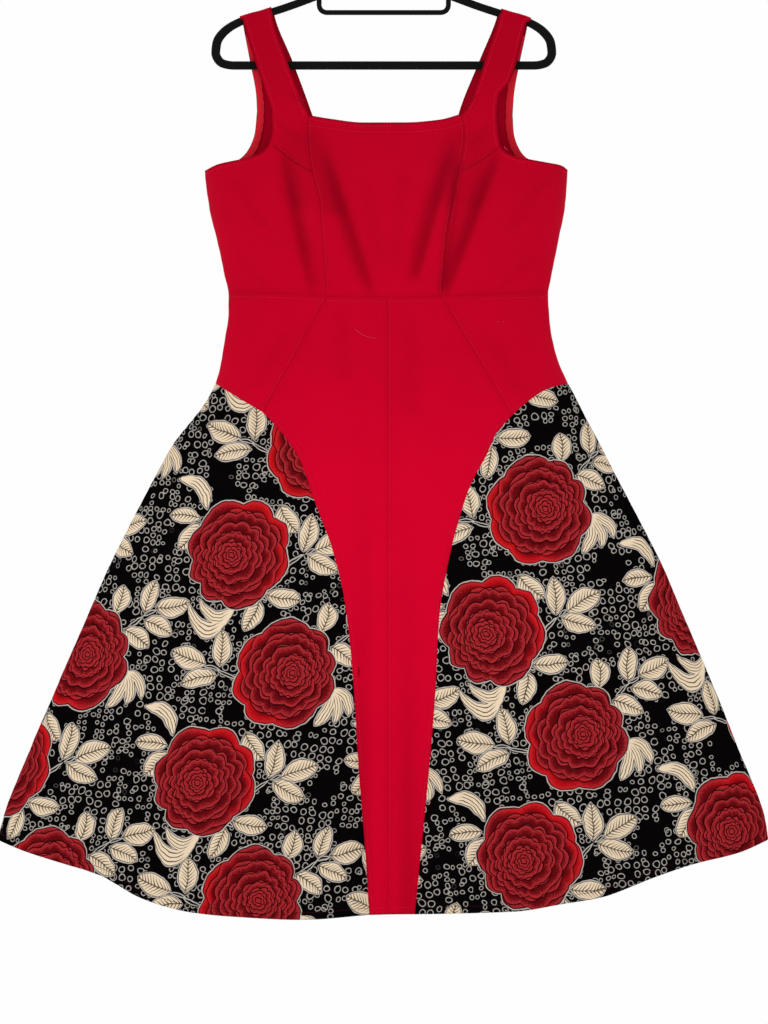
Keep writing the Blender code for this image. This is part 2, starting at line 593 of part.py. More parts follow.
def make_back(finishes):
    """The back's pieces, plain, with a centre-back seam."""
    red = finishes["red"]
    printed = finishes["print"]
    fine = BODICE_MESH
    wide = SKIRT_MESH

    def edge(rows, spacing):
        return flatten(BACK, trace(rows, spacing))

    for name, side, outer, inner, armhole, neck, waist, waist_mid, yoke_edge, hem in (
            ("left", -1, BACK_STRAP_OUTER_LEFT, BACK_STRAP_INNER_LEFT, BACK_ARMHOLE_LEFT,
             BACK_NECK_LEFT, WAIST_SIDE_LEFT, WAIST_MID_LEFT, BACK_YOKE_EDGE_LEFT,
             BACK_HEM_LEFT),
            ("right", 1, BACK_STRAP_OUTER_RIGHT, BACK_STRAP_INNER_RIGHT, BACK_ARMHOLE_RIGHT,
             BACK_NECK_RIGHT[::-1], WAIST_SIDE_RIGHT[::-1], WAIST_MID_RIGHT[::-1],
             BACK_YOKE_EDGE_RIGHT[::-1], BACK_HEM_RIGHT[::-1])):
        underarm = armhole[-1][1]
        waist_line = [edge(waist, fine), edge(waist_mid, fine)]
        sew("bodice_back_" + name, BACK, join_edges(
            turn_line(BACK, inner[0], outer[0], 1.0), strap_edge(BACK, outer, fine),
            edge(armhole, fine * 0.7), side_seam(BACK, side, underarm, WAIST_SIDE, fine),
            *waist_line, edge([(0.0, BACK_NECK), (0.0, WAIST_CENTRE)], fine)[::-1],
            edge(neck[::-1], fine), strap_edge(BACK, inner, fine)[::-1]), fine * 1.15, red,
            band=np.vstack([side_band(BACK, side, underarm, WAIST_SIDE, fine),
                            strap_turn(BACK, inner[0], outer[0])]))
        yoke_line = edge(yoke_edge, fine * 1.3)
        sew("hip_yoke_back_" + name, BACK, join_edges(
            *waist_line, edge([(0.0, WAIST_CENTRE), (0.0, BACK_YOKE_CENTRE)], wide * 0.8),
            yoke_line[::-1], side_seam(BACK, side, WAIST_SIDE, YOKE_SIDE, fine)[::-1]),
            wide * 0.85, red, band=side_band(BACK, side, WAIST_SIDE, YOKE_SIDE, fine))
        sew("skirt_back_" + name, BACK, join_edges(
            yoke_line, edge([(0.0, BACK_YOKE_CENTRE), (0.0, BACK_HEM_CENTRE)], wide * 0.8),
            edge(hem[::-1], wide * 0.8),
            side_seam(BACK, side, YOKE_SIDE, HEM_SIDE, wide)[::-1]), wide, printed,
            band=side_band(BACK, side, YOKE_SIDE, HEM_SIDE, wide))
        make_binding("armhole_binding_" + name, side, outer, armhole, finishes["binding"])


def make_binding(name, side, outer, armhole, finish):
    """The strip that finishes the back armhole, on the inside of the cloth."""
    rows = outer[1:] + armhole[1:-1]
    line = trace(rows, BINDING_WIDTH)
    line = line[line[:, 1] > BINDING_TOP]
    flat = flatten(BACK, line)
    along = np.gradient(flat, axis=0)
    across = np.column_stack([along[:, 1], -along[:, 0]]) / np.hypot(*along.T)[:, None]
    inward = across * side
    if inward[0, 0] * side > 0:
        inward = -inward
    strip = np.vstack([flat + inward * 0.4, (flat + inward * BINDING_WIDTH)[::-1]])
    out = -(WALL / 2 + SEAM_GAP + BINDING_WALL / 2)
    sew(name, BACK, strip, BINDING_WIDTH * 3, finish, wall=BINDING_WALL, out=out)


def make_hanger(finish):
    """The hanger's frame: one moulded loop with a tie bar, and a bored neck for the hook."""
    right = np.array(HANGER_HALF)
    left = right[1:][::-1] * (-1, 1, 1)
    rows = np.vstack([right, left])
    closed = np.vstack([rows[-3:], rows, rows[:4]])
    length = np.concatenate([[0.0], np.cumsum(np.hypot(*np.diff(closed[:, :2], axis=0).T))])
    start = length[3]
    end = length[3 + len(rows)]
    at = np.linspace(start, end, FRAME_STATIONS + 1)[:-1]
    centre = np.column_stack([curve(at, length, closed[:, k]) for k in range(3)])
    vertices, faces = sweep_flat(centre, True)
    frame = add_mesh("hanger_frame", vertices, faces, finish)
    bar = np.array(TIE_BAR_HALF)
    bar = np.vstack([(bar * (-1, 1))[::-1], bar[1:]])
    bar = np.column_stack([bar, np.full(len(bar), TIE_BAR_WIDTH)])
    vertices, faces = sweep_flat(bar, False)
    tie = add_mesh("tie_bar", vertices, faces, finish)
    neck = add_cylinder("neck", NECK_RADIUS, NECK_HEIGHT, HANGER_TOP, finish)
    bore = add_cylinder("bore", WIRE / 2 + SEAM_GAP, BORE_DEPTH, HANGER_TOP - NECK_HEIGHT / 2, finish)
    for tool, way in ((tie, "UNION"), (neck, "UNION"), (bore, "DIFFERENCE")):
        cut = frame.modifiers.new(tool.name, "BOOLEAN")
        cut.object = tool
        cut.operation = way
        cut.solver = "EXACT"
        tool.hide_render = True
        tool.display_type = "WIRE"
    return frame


def sweep_flat(centre, closed):
    """A bar with round edges along a line seen from the front: rows of across, drop, width."""
    points = centre[:, :2]
    if closed:
        along = np.roll(points, -1, axis=0) - np.roll(points, 1, axis=0)
    else:
        along = np.gradient(points, axis=0)
    along = along / np.hypot(*along.T)[:, None]
    across = np.column_stack([-along[:, 1], along[:, 0]])
    half = ARM_THICKNESS / 2
    corners = [(math.cos(a), math.sin(a)) for a in np.radians((0, 45, 90, 135, 180, 225, 270, 315))]
    rings = []
    for k, (x, drop, width) in enumerate(centre):
        core = width / 2 - half
        for c, s in corners:
            sign = 1.0 if c > 0.01 else (-1.0 if c < -0.01 else 0.0)
            far = core * sign + half * c
            rings.append((x + across[k, 0] * far, half * s, -(drop + across[k, 1] * far)))
    size = len(corners)
    count = len(centre)
    faces = []
    for k in range(count if closed else count - 1):
        a = k * size
        b = (k + 1) % count * size
        faces += [(a + j, a + (j + 1) % size, b + (j + 1) % size, b + j) for j in range(size)]
    if not closed:
        faces.append(tuple(range(size)))
        faces.append(tuple(reversed(range((count - 1) * size, count * size))))
    return rings, faces


def add_cylinder(name, radius, height, drop, finish, sides=20):
    """An upright cylinder whose middle lies at a drop."""
    ring = [(radius * math.cos(2 * math.pi * k / sides), radius * math.sin(2 * math.pi * k / sides))
            for k in range(sides)]
    vertices = [(x, y, -drop - height / 2) for x, y in ring] + [(x, y, -drop + height / 2) for x, y in ring]
    faces = [tuple(range(sides)), tuple(range(sides, 2 * sides))]
    faces += [(k, (k + 1) % sides, (k + 1) % sides + sides, k + sides) for k in range(sides)]
    return add_mesh(name, vertices, faces, finish)


def make_hook(finish):
    """The steel wire hook: an open loop over the rail, and a stem down into the neck."""
    radius = HOOK_RADIUS + WIRE / 2
    path = []
    for degrees in range(HOOK_TIP, HOOK_END - 1, -10):
        a = math.radians(degrees)
        path.append((radius * math.cos(a), radius * math.sin(a) - HOOK_RADIUS))
    last = path[-1]
    for t in (0.2, 0.4, 0.6, 0.8, 1.0):
        ease = t * t * (3 - 2 * t)
        lean = (1 - t) ** 2 * t * STEM_LEAN
        path.append((last[0] * (1 - ease) - lean, last[1] * (1 - t) - STEM_TOP * t))
    path.append((0.0, SEAM_GAP + BORE_DEPTH / 2 + NECK_HEIGHT / 2 - HANGER_TOP - BORE_DEPTH))
    points = [Vector((x, 0.0, z)) * MM for x, z in path]
    line = bpy.data.curves.new("hanger_hook", "CURVE")
    line.dimensions = "3D"
    line.bevel_depth = WIRE / 2 * MM
    line.bevel_resolution = 2
    line.use_fill_caps = True
    spline = line.splines.new("POLY")
    spline.points.add(len(points) - 1)
    for place, point in zip(spline.points, points):
        place.co = (*point, 1.0)
    line.materials.append(finish)
    made = bpy.data.objects.new("hanger_hook", line)
    bpy.context.scene.collection.objects.link(made)
    return made


def main():
    for old in list(bpy.data.objects):
        bpy.data.objects.remove(old)
    finishes = {
        "red": material("solid_red_cotton", (0.55, 0.0, 0.018), 0.75),
        "print": material("printed_cotton", (0.12, 0.03, 0.02), 0.7),
        "binding": material("binding_cotton", (0.68, 0.018, 0.027), 0.75),
        "flock": material("black_flock", (0.01, 0.01, 0.01), 0.95),
        "steel": material("polished_steel", (0.6, 0.6, 0.6), 0.25, 1.0),
    }
    make_front(finishes)
    make_back(finishes)
    make_hanger(finishes["flock"])
    make_hook(finishes["steel"])


main()
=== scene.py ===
# %% [markdown]
# # A flare dress on its hanger
#
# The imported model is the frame: plain solids for every cut piece of cloth, the hanger and its hook.
# It holds still. This lesson dresses it. Each cloth solid is replaced by a fine thin shell with
# soft creases, seams and stitches, and each finish is built from shader nodes.

# %% Load the frame
import math

import bmesh
import bpy
import numpy as np
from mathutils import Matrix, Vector
from mathutils.geometry import delaunay_2d_cdt


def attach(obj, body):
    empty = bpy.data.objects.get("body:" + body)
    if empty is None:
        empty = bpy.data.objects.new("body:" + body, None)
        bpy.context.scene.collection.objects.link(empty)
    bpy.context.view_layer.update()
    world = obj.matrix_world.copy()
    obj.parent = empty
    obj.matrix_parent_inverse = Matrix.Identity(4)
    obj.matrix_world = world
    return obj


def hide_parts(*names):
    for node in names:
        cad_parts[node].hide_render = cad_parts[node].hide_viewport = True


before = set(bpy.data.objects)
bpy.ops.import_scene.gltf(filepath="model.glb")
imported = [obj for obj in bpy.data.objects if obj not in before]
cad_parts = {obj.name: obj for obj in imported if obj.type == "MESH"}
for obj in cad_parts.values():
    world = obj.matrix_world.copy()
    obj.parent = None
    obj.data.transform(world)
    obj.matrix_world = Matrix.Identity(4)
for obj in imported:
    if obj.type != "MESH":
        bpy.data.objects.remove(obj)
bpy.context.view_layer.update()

print("nodes in the frame:", len(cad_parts))

# %% [markdown]
# ## Sizes
#
# Sizes are millimetres until a mesh is made. "across" runs from the dress's centre line and is
# positive to the right of the picture. "drop" runs down from the inner top of the hook, which is
# the origin. A table of sections says how wide and deep the tube of cloth is at each drop, and it
# is the same table that the solids come from, so that the fine shell lies on its solid.

# %% Sizes of the cloth
MM = 0.001
SHELL = 1.0
DRESS_OFFSET = 5.5
BODICE_MESH = 4.6
SKIRT_MESH = 6.5
EDGE_MESH = 3.6
STRAP_TURN = 3.95
STRAP_BLEND = 80.0
ARM_SLOPE = math.radians(18)
ARM_THICKNESS = 5.5
WAIST_SIDE = 519.0
WAIST_CENTRE = 525.5
YOKE_SIDE = 637.0
HEM_SIDE = 1225.0
HEM_CENTRE = 1318.6
BACK_NECK = 327.0
BACK_YOKE_CENTRE = 706.0
BACK_HEM_CENTRE = 1314.0
FRONT = -1
BACK = 1

SECTIONS = np.array([
    # drop, left, right, front, back
    (130, 236, 231, 7, 7),
    (220, 236, 231, 10, 10.5),
    (290, 236, 231, 20, 15),
    (364, 235.6, 230.7, 32, 20),
    (410, 230, 227.7, 37, 22),
    (453, 220, 219.6, 32, 21),
    (498, 211, 210.4, 25, 19),
    (524, 206, 206.4, 22, 18),
    (548, 206, 207.8, 23, 19),
    (572, 209, 210.2, 25, 21),
    (605, 214.1, 217.6, 28, 24),
    (632, 220.5, 229.5, 31, 27),
    (658, 233, 243.2, 34, 29),
    (672, 242.5, 250, 36, 31),
    (716, 277.5, 273.2, 40, 34.5),
    (761, 301.5, 296.3, 44, 38),
    (865, 355.4, 350, 53, 45),
    (986, 408.6, 401.4, 62, 53),
    (1097, 456, 447.5, 70, 60),
    (1200, 496.5, 486, 76, 65),
    (1235, 503, 491, 78, 67),
    (1340, 513, 501, 82, 71),
])
print("sections:", len(SECTIONS))

# %% [markdown]
# ## Folds and creases
#
# Cloth on a hanger hangs in long soft folds, and smaller creases run from where it is held or
# sewn. A simulation would move the cloth away from its cut, so each fold is placed one by one: a
# line from its top to its bottom, how far it stands out, and how wide it is at either end. The
# folds are in the solids too. The creases are only in the shell.

# %% Folds
FRONT_FOLDS = np.array([
    # top across, top drop, bottom across, bottom drop, height, top width, bottom width
    (-140, 340, -99, 505, -4.2, 10, 9),
    (-82, 350, -22, 518, -4, 10, 11),
    (67, 350, 30, 500, -4, 10, 10),
    (133, 340, 74, 508, -4.2, 10, 9),
    (-88, 330, -84, 480, 7, 45, 34),
    (82, 330, 78, 480, 7, 45, 34),
    (-170, 640, -398, 1400, -17, 24, 40),
    (-130, 600, -288, 1400, 15, 28, 46),
    (-70, 640, -150, 1400, -8, 28, 44),
    (75, 640, 160, 1400, -7, 28, 44),
    (130, 610, 272, 1400, 14, 28, 44),
    (170, 650, 372, 1400, -14, 26, 38),
])
FRONT_CREASES = np.array([
    # top across, top drop, bottom across, bottom drop, height, top width, bottom width, lean
    (-139, 322, -96, 528, -3.1, 8, 8.5, 0.35),
    (-86, 322, -17, 532, -3.2, 8.5, 8.5, -0.3),
    (87, 318, 32, 514, -3.9, 9, 8.5, -0.3),
    (91, 330, 69, 526, -3.4, 6.5, 6.5, 0.2),
    (74, 384, 44, 512, 1.1, 4.5, 5, 0),
    (150, 322, 70, 532, -3.9, 8.5, 8, -0.3),
    (-100, 296, -66, 430, -2, 20, 16, 0),
    (92, 296, 70, 420, -1.6, 19, 15, 0),
    (-128, 300, -110, 420, -1.6, 19, 14, 0),
    (124, 300, 106, 420, -1.4, 17, 14, 0),
    (-33, 360, -6, 490, -0.8, 10, 9, 0),
    (22, 350, 10, 500, -0.8, 10, 9, 0),
    (-131, 258, -97, 290, -1.7, 4.5, 4, 0.3),
    (117, 262, 95, 294, -1.7, 4.5, 4, -0.3),
    (-150, 296, -110, 326, -1.1, 4, 4, 0),
    (139, 296, 106, 332, -1.1, 4, 4, 0),
    (-205, 368, -158, 440, -0.9, 9, 10, 0.2),
    (204, 368, 158, 440, -0.9, 9, 10, -0.2),
    (-196, 470, -150, 520, -0.7, 9, 9, 0),
    (190, 468, 140, 520, -0.7, 9, 8, 0),
    (-60, 528, -54, 640, -0.8, 9, 15, 0),
    (-24, 530, -30, 700, 0.8, 10, 18, 0),
    (26, 530, 30, 690, -0.8, 10, 17, 0),
    (48, 530, 70, 650, 0.8, 9, 14, 0),
    (-120, 560, -176, 650, -0.8, 11, 15, 0),
    (118, 560, 176, 655, -0.8, 11, 15, 0),
    (-30, 640, -36, 1400, -3.4, 15, 15, 0),
    (24, 700, 26, 1400, -3, 14, 15, 0),
    (-4, 800, -6, 1400, 2.6, 14, 14, 0),
])
BACK_FOLDS = np.array([
    # top across, top drop, bottom across, bottom drop, height, top width, bottom width
    (-120, 350, -80, 510, -3.5, 11, 9),
    (110, 350, 84, 510, -3.5, 10, 10),
    (-150, 620, -352, 1400, 15, 26, 42),
    (-110, 640, -236, 1400, -13, 26, 40),
    (-55, 620, -118, 1400, 11, 26, 44),
    (20, 640, 20, 1400, -9, 26, 42),
    (75, 620, 146, 1400, 12, 26, 42),
    (125, 640, 258, 1400, -13, 26, 40),
    (160, 630, 362, 1400, 14, 26, 40),
])
BACK_CREASES = np.array([
    # top across, top drop, bottom across, bottom drop, height, top width, bottom width, lean
    (-122, 336, -76, 524, -2.4, 8, 7, 0.3),
    (115, 334, 80, 522, -2.3, 7, 8, -0.3),
    (-62, 340, -20, 518, -2, 9, 8, -0.2),
    (54, 338, 24, 512, -1.9, 9, 8, 0.2),
    (-150, 290, -108, 332, -1.3, 5, 5, 0),
    (140, 290, 102, 336, -1.2, 5, 5, 0),
    (-198, 380, -150, 440, -1.1, 9, 9, 0.2),
    (196, 376, 152, 436, -1.1, 8, 9, -0.2),
    (-70, 530, -92, 680, -1.2, 9, 15, 0),
    (64, 530, 90, 670, -1.1, 9, 14, 0),
    (-12, 535, -16, 700, 1, 9, 14, 0),
    (-150, 560, -190, 650, -0.9, 9, 13, 0),
    (146, 560, 190, 650, -0.9, 10, 13, 0),
])
# the share of its length over which it rises and falls, and how round it is
FOLD_SHAPE = (0.35, 0.3, 1.4)
CREASE_SHAPE = (0.22, 0.13, 1.0)
FLARE_POWER = 1.2
SWAY_TOP = 620.0
SWAY_DROP = 700.0
SWAY_DEPTH = 15.0
SWAY_MOST = 1.2
SWAY_POWER = 1.5
SWAY_TURN = 2.3
SWAY_START = 0.5
FOLDS = {FRONT: FRONT_FOLDS, BACK: BACK_FOLDS}
CREASES = {FRONT: FRONT_CREASES, BACK: BACK_CREASES}
print("folds:", len(FRONT_FOLDS) + len(BACK_FOLDS), "creases:", len(FRONT_CREASES) + len(BACK_CREASES))

# %% [markdown]
# ## Seams and edges
#
# A dress is drawn by its seams. Each line below is a short row of places where the seam bends, and
# a smooth curve runs through them. Neighbouring pieces share the same line, so they meet exactly.

# %% Seam lines
PRINCESS_LEFT = [(-102, 291.5), (-102.5, 312), (-98.5, 357), (-87, 405),
                 (-83.5, 453), (-78.7, 524)]
PRINCESS_RIGHT = [(94, 290), (97.8, 318), (91.5, 357), (81.5, 405),
                  (73.5, 453), (68.4, 524)]
NECKLINE = [(-102, 291.5), (-76, 296), (-31, 301), (23, 301),
            (66, 297.5), (94, 290)]
WAIST_SIDE_LEFT = [(-206, WAIST_SIDE), (-140, 520.5), (-78.7, 524)]
WAIST_MID_LEFT = [(-78.7, 524), (-40, 525.2), (0, WAIST_CENTRE)]
WAIST_MID_RIGHT = [(0, WAIST_CENTRE), (35, 525.2), (68.4, 524)]
WAIST_SIDE_RIGHT = [(68.4, 524), (140, 521.5), (206, WAIST_SIDE)]
STRAP_OUTER_LEFT = [(-190.9, 150), (-185.5, 176), (-171.8, 221), (-150.6, 284)]
STRAP_INNER_LEFT = [(-150.5, 140), (-148.3, 164), (-130.5, 220), (-117.5, 255),
                    (-109.5, 275), (-102, 291.5)]
STRAP_OUTER_RIGHT = [(184, 150), (175, 185), (157.4, 247), (142.7, 267), (140.2, 290)]
STRAP_INNER_RIGHT = [(146, 140), (142.8, 164), (128.5, 208), (119.3, 237),
                     (108.9, 266), (101, 281.5), (94, 290)]
ARMHOLE_LEFT = [(-150.6, 284), (-149.6, 310), (-151.5, 323), (-160.5, 338), (-177, 345.5),
                (-193.5, 349), (-219.3, 354.6), (-235.6, 362.5)]
ARMHOLE_RIGHT = [(140.2, 290), (141.9, 315), (146.5, 334), (159, 343), (177.2, 347.5),
                 (202, 352), (223, 356), (230.7, 361.5)]
BACK_STRAP_OUTER_LEFT = [(-190.9, 150), (-186.5, 177), (-178.4, 220), (-170.1, 266),
                         (-169.2, 285)]
BACK_STRAP_INNER_LEFT = [(-150.5, 140), (-146, 164), (-123.5, 220), (-98, 289),
                         (-88, 321)]
BACK_ARMHOLE_LEFT = [(-169.2, 285), (-171.8, 312), (-180, 334), (-193.5, 348),
                     (-217, 356.5), (-235.6, 362.5)]
BACK_STRAP_OUTER_RIGHT = [(184, 150), (179.5, 177), (168.2, 231), (162.4, 266),
                          (160.9, 290)]
BACK_STRAP_INNER_RIGHT = [(146, 140), (140.5, 164), (118, 220), (91, 289),
                          (84, 321)]
BACK_ARMHOLE_RIGHT = [(160.9, 290), (162.4, 313), (169, 333), (180, 346),
                      (209, 355), (230.7, 361.5)]
BACK_NECK_LEFT = [(-88, 321), (-45, 326), (0, BACK_NECK)]
BACK_NECK_RIGHT = [(0, BACK_NECK), (43, 326), (84, 321)]
YOKE_SEAM_LEFT = [(-78.7, 524), (-161.3, 674)]
YOKE_SEAM_RIGHT = [(68.4, 524), (160, 678)]
YOKE_EDGE_LEFT = [(-222.6, YOKE_SIDE), (-190.1, 657), (-161.3, 674)]
YOKE_EDGE_RIGHT = [(160, 678), (179.3, 661), (207.7, 643), (231.6, YOKE_SIDE)]
PRINT_SEAM_LEFT = [(-161.3, 674), (-134.8, 703), (-113.8, 735), (-92.9, 793), (-71.7, 850),
                   (-55.9, 916), (-48, 981), (-43.3, 1039), (-37.8, 1132),
                   (-30.3, 1224), (-24, 1319.3)]
PRINT_SEAM_RIGHT = [(160, 678), (138.9, 702), (126.4, 730), (110.9, 758), (99.3, 786),
                    (74.8, 880), (65.8, 939), (60.4, 1039), (51.1, 1150),
                    (41.9, 1242), (34.4, 1318.6)]
BACK_YOKE_EDGE_LEFT = [(-222.6, YOKE_SIDE), (-170, 668), (-90, 697), (0, BACK_YOKE_CENTRE)]
BACK_YOKE_EDGE_RIGHT = [(0, BACK_YOKE_CENTRE), (90, 697), (170, 668), (231.6, YOKE_SIDE)]
HEM_LEFT = [(-502.2, HEM_SIDE), (-467, 1238.5), (-411.5, 1255.4), (-373, 1267),
            (-347, 1281), (-322, 1295), (-293, 1305.5), (-254, 1314.8),
            (-204, 1320.7), (-113.5, 1325.5), (-24, 1319.3)]
HEM_MID_LEFT = [(-24, 1319.3), (0, HEM_CENTRE)]
HEM_MID_RIGHT = [(0, HEM_CENTRE), (34.4, 1318.6)]
HEM_RIGHT = [(34.4, 1318.6), (91.6, 1317.7), (161.3, 1315.7), (227, 1305), (276, 1296.5),
             (310, 1285), (339, 1273.5), (393.5, 1255), (451.5, 1241), (490.3, HEM_SIDE)]
BACK_HEM_LEFT = [(-502.2, HEM_SIDE), (-430, 1252), (-330, 1286), (-200, 1310),
                 (0, BACK_HEM_CENTRE)]
BACK_HEM_RIGHT = [(0, BACK_HEM_CENTRE), (200, 1304), (330, 1272), (430, 1241),
                  (490.3, HEM_SIDE)]
CENTRE_FRONT = [(0, WAIST_CENTRE), (0, HEM_CENTRE)]
CENTRE_BODICE_BACK = [(0, BACK_NECK), (0, WAIST_CENTRE)]
CENTRE_YOKE_BACK = [(0, WAIST_CENTRE), (0, BACK_YOKE_CENTRE)]
CENTRE_SKIRT_BACK = [(0, BACK_YOKE_CENTRE), (0, BACK_HEM_CENTRE)]
WHOLE_WAIST = WAIST_SIDE_LEFT + WAIST_MID_LEFT[1:] + WAIST_MID_RIGHT[1:] + WAIST_SIDE_RIGHT[1:]
DARTS = {
    "left": [(-146, 331.5), (-122, 350), (-99.8, 363.6)],
    "right": [(142, 333), (118, 350.5), (96, 363.6)],
}

HANGER_HALF = [
    # across, drop, width
    (0, 103.5, 12.5),
    (60, 126.5, 11),
    (118, 149, 10.2),
    (152, 160.2, 10.2),
    (184, 169.8, 10.6),
    (205.5, 182.8, 11.4),
    (215.3, 197.5, 11.8),
    (216.8, 211, 11.6),
    (209, 223.5, 11.2),
    (194, 226.6, 11),
    (110, 226.6, 11),
    (36, 226.6, 11),
]
TIE_BAR_HALF = [(0, 158.3), (74, 158.3), (80.5, 155.6), (83.4, 149), (83.4, 137.5)]

# %% [markdown]
# ## From flat cloth to the hanging tube
#
# Cloth is cut flat, so every piece starts as a flat outline. Its width is measured along the
# tube's section, which keeps the print's scale true where the skirt turns round its sides. These
# functions carry a flat place onto the tube and back.

# %% Tube functions
def curve(at, knots, values):
    """A smooth line through a short table that never swings past its rows."""
    step = np.diff(knots)
    slope = np.diff(values) / step
    tangent = np.concatenate([slope[:1], slope[1:] * 0.0, slope[-1:]])
    same_way = slope[:-1] * slope[1:] > 0
    inner = np.where(same_way, 2 * slope[:-1] * slope[1:] / np.where(same_way, slope[:-1] + slope[1:], 1), 0)
    tangent[1:-1] = inner
    at = np.clip(at, knots[0], knots[-1])
    k = np.clip(np.searchsorted(knots, at, side="right") - 1, 0, len(knots) - 2)
    t = (at - knots[k]) / step[k]
    rise = (3 * t * t - 2 * t ** 3) * (values[k + 1] - values[k])
    lean = (t ** 3 - 2 * t * t + t) * step[k] * tangent[k] + (t ** 3 - t * t) * step[k] * tangent[k + 1]
    return values[k] + rise + lean


def smooth_step(t):
    """Ease from 0 to 1."""
    t = np.clip(t, 0.0, 1.0)
    return t * t * (3 - 2 * t)


def run(points):
    """How far along a line each of its points lies."""
    return np.concatenate([[0.0], np.cumsum(np.hypot(*np.diff(points, axis=0).T))])


def sideways(along):
    """Unit vectors at a right angle to flat directions."""
    return np.column_stack([-along[:, 1], along[:, 0]]) / np.hypot(*along.T)[:, None]


def tube(column, drop):
    """One column of the section table at a drop."""
    return curve(drop, SECTIONS[:, 0], SECTIONS[:, column])


def across_at(share, drop):
    """The place across the tube that a share of its section stands for."""
    left = tube(1, drop)
    right = tube(2, drop)
    return (right - left) / 2 + share * (right + left) / 2


def share_across(x, drop):
    """Place across the section, -1 at the left side seam and 1 at the right."""
    left = tube(1, drop)
    right = tube(2, drop)
    return np.clip((x - (right - left) / 2) / ((right + left) / 2), -1.0, 1.0)


def roundness(share):
    """Depth of the section as a share of its greatest depth."""
    return np.sqrt(np.clip(1 - np.abs(share) ** 3, 0.0, 1.0))


def shoulder(x):
    """Drop where a strap starts to turn over the hanger's arm."""
    rows = np.array(HANGER_HALF[:6])
    reach = np.abs(x + DRESS_OFFSET)
    top = curve(reach, rows[:, 0], rows[:, 1] - rows[:, 2] / 2 / math.cos(ARM_SLOPE))
    return top + ARM_THICKNESS / 2


def stand_out(table, x, drop, shape):
    """How far folds stand out of the plain tube, wider on the side to which each leans."""
    rise, fall, rounded = shape
    total = np.zeros(np.broadcast(x, drop).shape)
    for top_x, top, bottom_x, bottom, height, top_width, bottom_width, *lean in table:
        along = (drop - top) / (bottom - top)
        held = np.clip(along, 0.0, 1.0)
        away = x - (top_x + (bottom_x - top_x) * held)
        width = (top_width + (bottom_width - top_width) * held) * (1 + sum(lean) * np.sign(away))
        fade = smooth_step(along / rise) * smooth_step((1 - along) / fall)
        if bottom > HEM_SIDE:
            fade = held ** FLARE_POWER
        total = total + height * fade * np.exp(-(away / width) ** 2 / rounded)
    return total


def sway(share, drop):
    """The skirt's slow swing to front and back, which both of its layers follow."""
    low = np.clip((drop - SWAY_TOP) / SWAY_DROP, 0.0, SWAY_MOST)
    return SWAY_DEPTH * low ** SWAY_POWER * np.sin(SWAY_TURN * share + SWAY_START)


# %% Flat tables
LEVELS = np.arange(130.0, 1341.0, 10.0)
ANGLES = np.linspace(0.0, math.pi, 361)
DEPTH = {FRONT: 3, BACK: 4}


def flat_tables(face):
    """For each level: flat reach to either side, and both ways between share and angle."""
    reach = []
    share_of_angle = []
    angle_of_share = []
    for level in LEVELS:
        share = -np.cos(ANGLES)
        x = across_at(share, level)
        y = tube(DEPTH[face], level) * roundness(share)
        flat = run(np.column_stack([x, y]))
        flat = flat - np.interp(0.0, x, flat)
        reach.append((-flat[0], flat[-1]))
        part = np.where(flat < 0, flat / -flat[0], flat / flat[-1])
        share_of_angle.append(part)
        angle_of_share.append(np.interp(np.linspace(-1, 1, 721), part, ANGLES))
    return np.array(reach), np.array(share_of_angle), np.array(angle_of_share)


FLAT = {FRONT: flat_tables(FRONT), BACK: flat_tables(BACK)}


def look_up(grid, drop, place):
    """Read a table between its rows and columns; place runs from 0 to 1 across a row."""
    row = np.clip((drop - LEVELS[0]) / (LEVELS[1] - LEVELS[0]), 0, len(LEVELS) - 1.001)
    column = np.clip(place * (grid.shape[1] - 1), 0, grid.shape[1] - 1.001)
    r = row.astype(int)
    c = column.astype(int)
    fr = row - r
    fc = column - c
    top = grid[r, c] * (1 - fc) + grid[r, c + 1] * fc
    low = grid[r + 1, c] * (1 - fc) + grid[r + 1, c + 1] * fc
    return top * (1 - fr) + low * fr


def flat_reach(face, drop, side):
    """Flat distance from the centre line to the side seam."""
    return np.interp(drop, LEVELS, FLAT[face][0][:, 0 if side < 0 else 1])


def flatten(face, points):
    """Flat places of points given by across and drop."""
    points = np.asarray(points, float)
    x = points[:, 0]
    drop = points[:, 1]
    angle = np.arccos(-share_across(x, drop))
    part = look_up(FLAT[face][1], drop, angle / math.pi)
    reach = np.where(part < 0, flat_reach(face, drop, -1), flat_reach(face, drop, 1))
    return np.column_stack([part * reach, drop])


def raise_cloth(face, flat):
    """Points of the cloth's middle surface in the dress's own frame."""
    drop = flat[:, 1]
    held = np.maximum(drop, LEVELS[0])
    left = flat_reach(face, held, -1)
    right = flat_reach(face, held, 1)
    part = flat[:, 0] / np.where(flat[:, 0] < 0, left, right)
    past = np.maximum(np.abs(part) - 1, 0.0) * np.where(part < 0, left, right)
    angle = look_up(FLAT[face][2], held, (np.clip(part, -1, 1) + 1) / 2)
    share = -np.cos(angle)
    x = across_at(share, held)
    turn_from = shoulder(x)
    rest = np.maximum(held, turn_from)
    turned = np.clip(turn_from - drop, 0.0, None) / STRAP_TURN
    depth = tube(DEPTH[face], rest) * roundness(share)
    bulk = stand_out(FOLDS[face], x, rest, FOLD_SHAPE)
    fine = stand_out(CREASES[face], x, rest, CREASE_SHAPE)
    depth = depth + (bulk + fine) * (1 - share ** 4)
    depth = STRAP_TURN + (depth - STRAP_TURN) * smooth_step((rest - turn_from) / STRAP_BLEND)
    y = face * (depth * np.cos(turned) - past) + sway(share, rest)
    z = -rest + STRAP_TURN * np.sin(turned)
    return np.column_stack([x + DRESS_OFFSET, y, z])


NUDGE = 0.25


